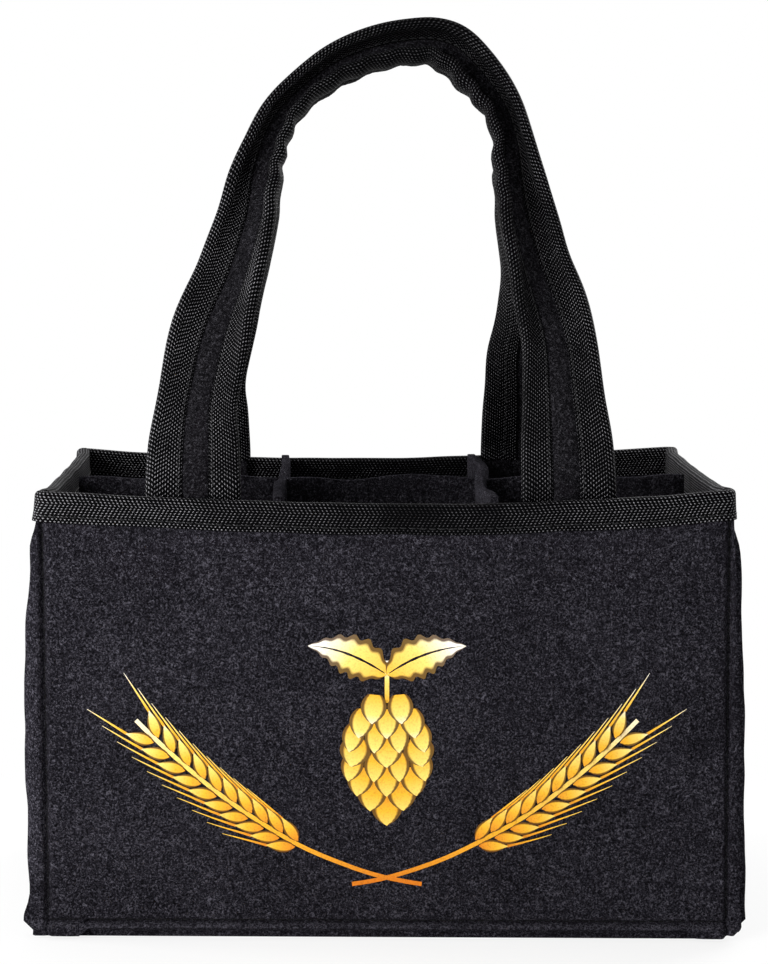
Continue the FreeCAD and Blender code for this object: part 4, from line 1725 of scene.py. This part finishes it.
barley = make_ear(1) + make_ear(-1)
print("barley", len(barley), "pieces of film")

# %% Hops
SCALE_COUNTS = (2, 3, 4, 3, 4, 3, 2, 1)
SCALE_LENGTH = 10.5 * MM
SCALE_LEAN = 0.32
SCALE_OVERLAP = 1.04
CONE_TOP = 88 * MM
CONE_DROP = 5.2 * MM
CONE_HALF = 15 * MM
STEM_FOOT = CONE_TOP - 3 * MM
STEM_LENGTH = 15 * MM
LEAF_LENGTH = 27 * MM
LEAF_WIDTH = 14 * MM
LEAF_RISE = 7 * MM
LEAF_STEEPNESS = 0.72
LEAF_DROOP = 0.34
LEAF_HALVES = ((-1.0, -0.06), (0.06, 1.0))


def cone_half(row):
    """Half width of the cone at a row of scales: broad in the middle, narrow at the tip."""
    return CONE_HALF * math.sin(math.pi * (0.16 + 0.76 * row / (len(SCALE_COUNTS) - 1))) ** 0.8


def make_cone():
    films = []
    for row, count in enumerate(SCALE_COUNTS):
        pitch = 2 * cone_half(row) / count
        for place in range(count):
            x = (place - (count - 1) / 2) * pitch
            lean = -math.pi / 2 + SCALE_LEAN * x / CONE_HALF
            hanging = straight(Vector((x, CONE_TOP - row * CONE_DROP)), lean, SCALE_LENGTH)
            layer = 2 * (len(SCALE_COUNTS) - row) + place % 2
            films.append(film(hanging, scale_shape(pitch * SCALE_OVERLAP), OUTLINED, layer))
    return films


def leaf_line(side):
    def rising(v):
        up = CONE_TOP + LEAF_RISE + LEAF_LENGTH * v * (LEAF_STEEPNESS - LEAF_DROOP * v)
        return Vector((side * LEAF_LENGTH * v, up))
    return rising


def make_leaves():
    stem = straight(Vector((0, STEM_FOOT)), math.pi / 2, STEM_LENGTH)
    films = [film(stem, stalk_shape, PLAIN, 0, 2, 6)]
    for side in (1, -1):
        films += [film(leaf_line(side), leaf_shape(LEAF_WIDTH), half, 4 + side, 4, 39)
                  for half in LEAF_HALVES]
    return films


hops = make_cone() + make_leaves()
print("hops", len(hops), "pieces of film")

# %% Print
front_print = barley[0]
pick(front_print)
for piece in barley + hops:
    piece.select_set(True)
bpy.ops.object.join()
front_print.name = front_print.data.name = "front_print"
thicken(front_print, FILM, offset=1)
coat(front_print, print_film)
settle(front_print)

# %% [markdown]
# Every panel, divider and strap was cut from flat felt, and the size of each cut is printed.

# %% Cut sizes
WALL_HEIGHT = RIM - FOOT
TURNED_EDGE = MARGIN_FOOT - wall_middle(FOOT) - BEND
SIDE_WIDTH = 2 * WALL_END + math.pi * BEND + 2 * TURNED_EDGE
LONG_WIDTH = 2 * LONG_REACH + math.pi * TAB_BEND + 2 * (TAB_END - TAB_BEND)
tray = bottom_high - bottom_low
TRAY_CUT = (tray.x + 2 * tray.z, tray.y + 2 * tray.z)
TRAY_AREA = TRAY_CUT[0] * TRAY_CUT[1] - 4 * tray.z * tray.z
PANEL_AREA = (FOOT_HALF + RIM_HALF) * WALL_HEIGHT


def cut_from(piece, width, length, held, rests_on, area=None, with_pieces=()):
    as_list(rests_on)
    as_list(with_pieces)
    print(piece.name, "cut", round(width / MM, 1), "by", round(length / MM, 1), "mm")


for where, width, area in (("front", 2 * FOOT_HALF, PANEL_AREA),
                           ("back", 2 * FOOT_HALF, PANEL_AREA),
                           ("right", SIDE_WIDTH, None), ("left", SIDE_WIDTH, None)):
    cut_from(walls[where], width, WALL_HEIGHT, "stretched", ["bottom_felt"], area,
             [rim_tapes[where]])
cut_from(bottom_felt, *TRAY_CUT, "folded", [], TRAY_AREA)
for piece, width in ((long_felt, LONG_WIDTH), *((felt, 2 * CROSS_END) for felt in cross_felts)):
    cut_from(piece, width, DIVIDER_HEIGHT, "stretched", ["bottom_felt"])
for where, wall in (("front", "front_felt"), ("rear", "back_felt")):
    bindings = [strap_tapes[where, "outer"], strap_tapes[where, "inner"]]
    cut_from(straps[where], STRAP_WIDTH, LINE_MARKS[-1], "folded", [wall], None, bindings)
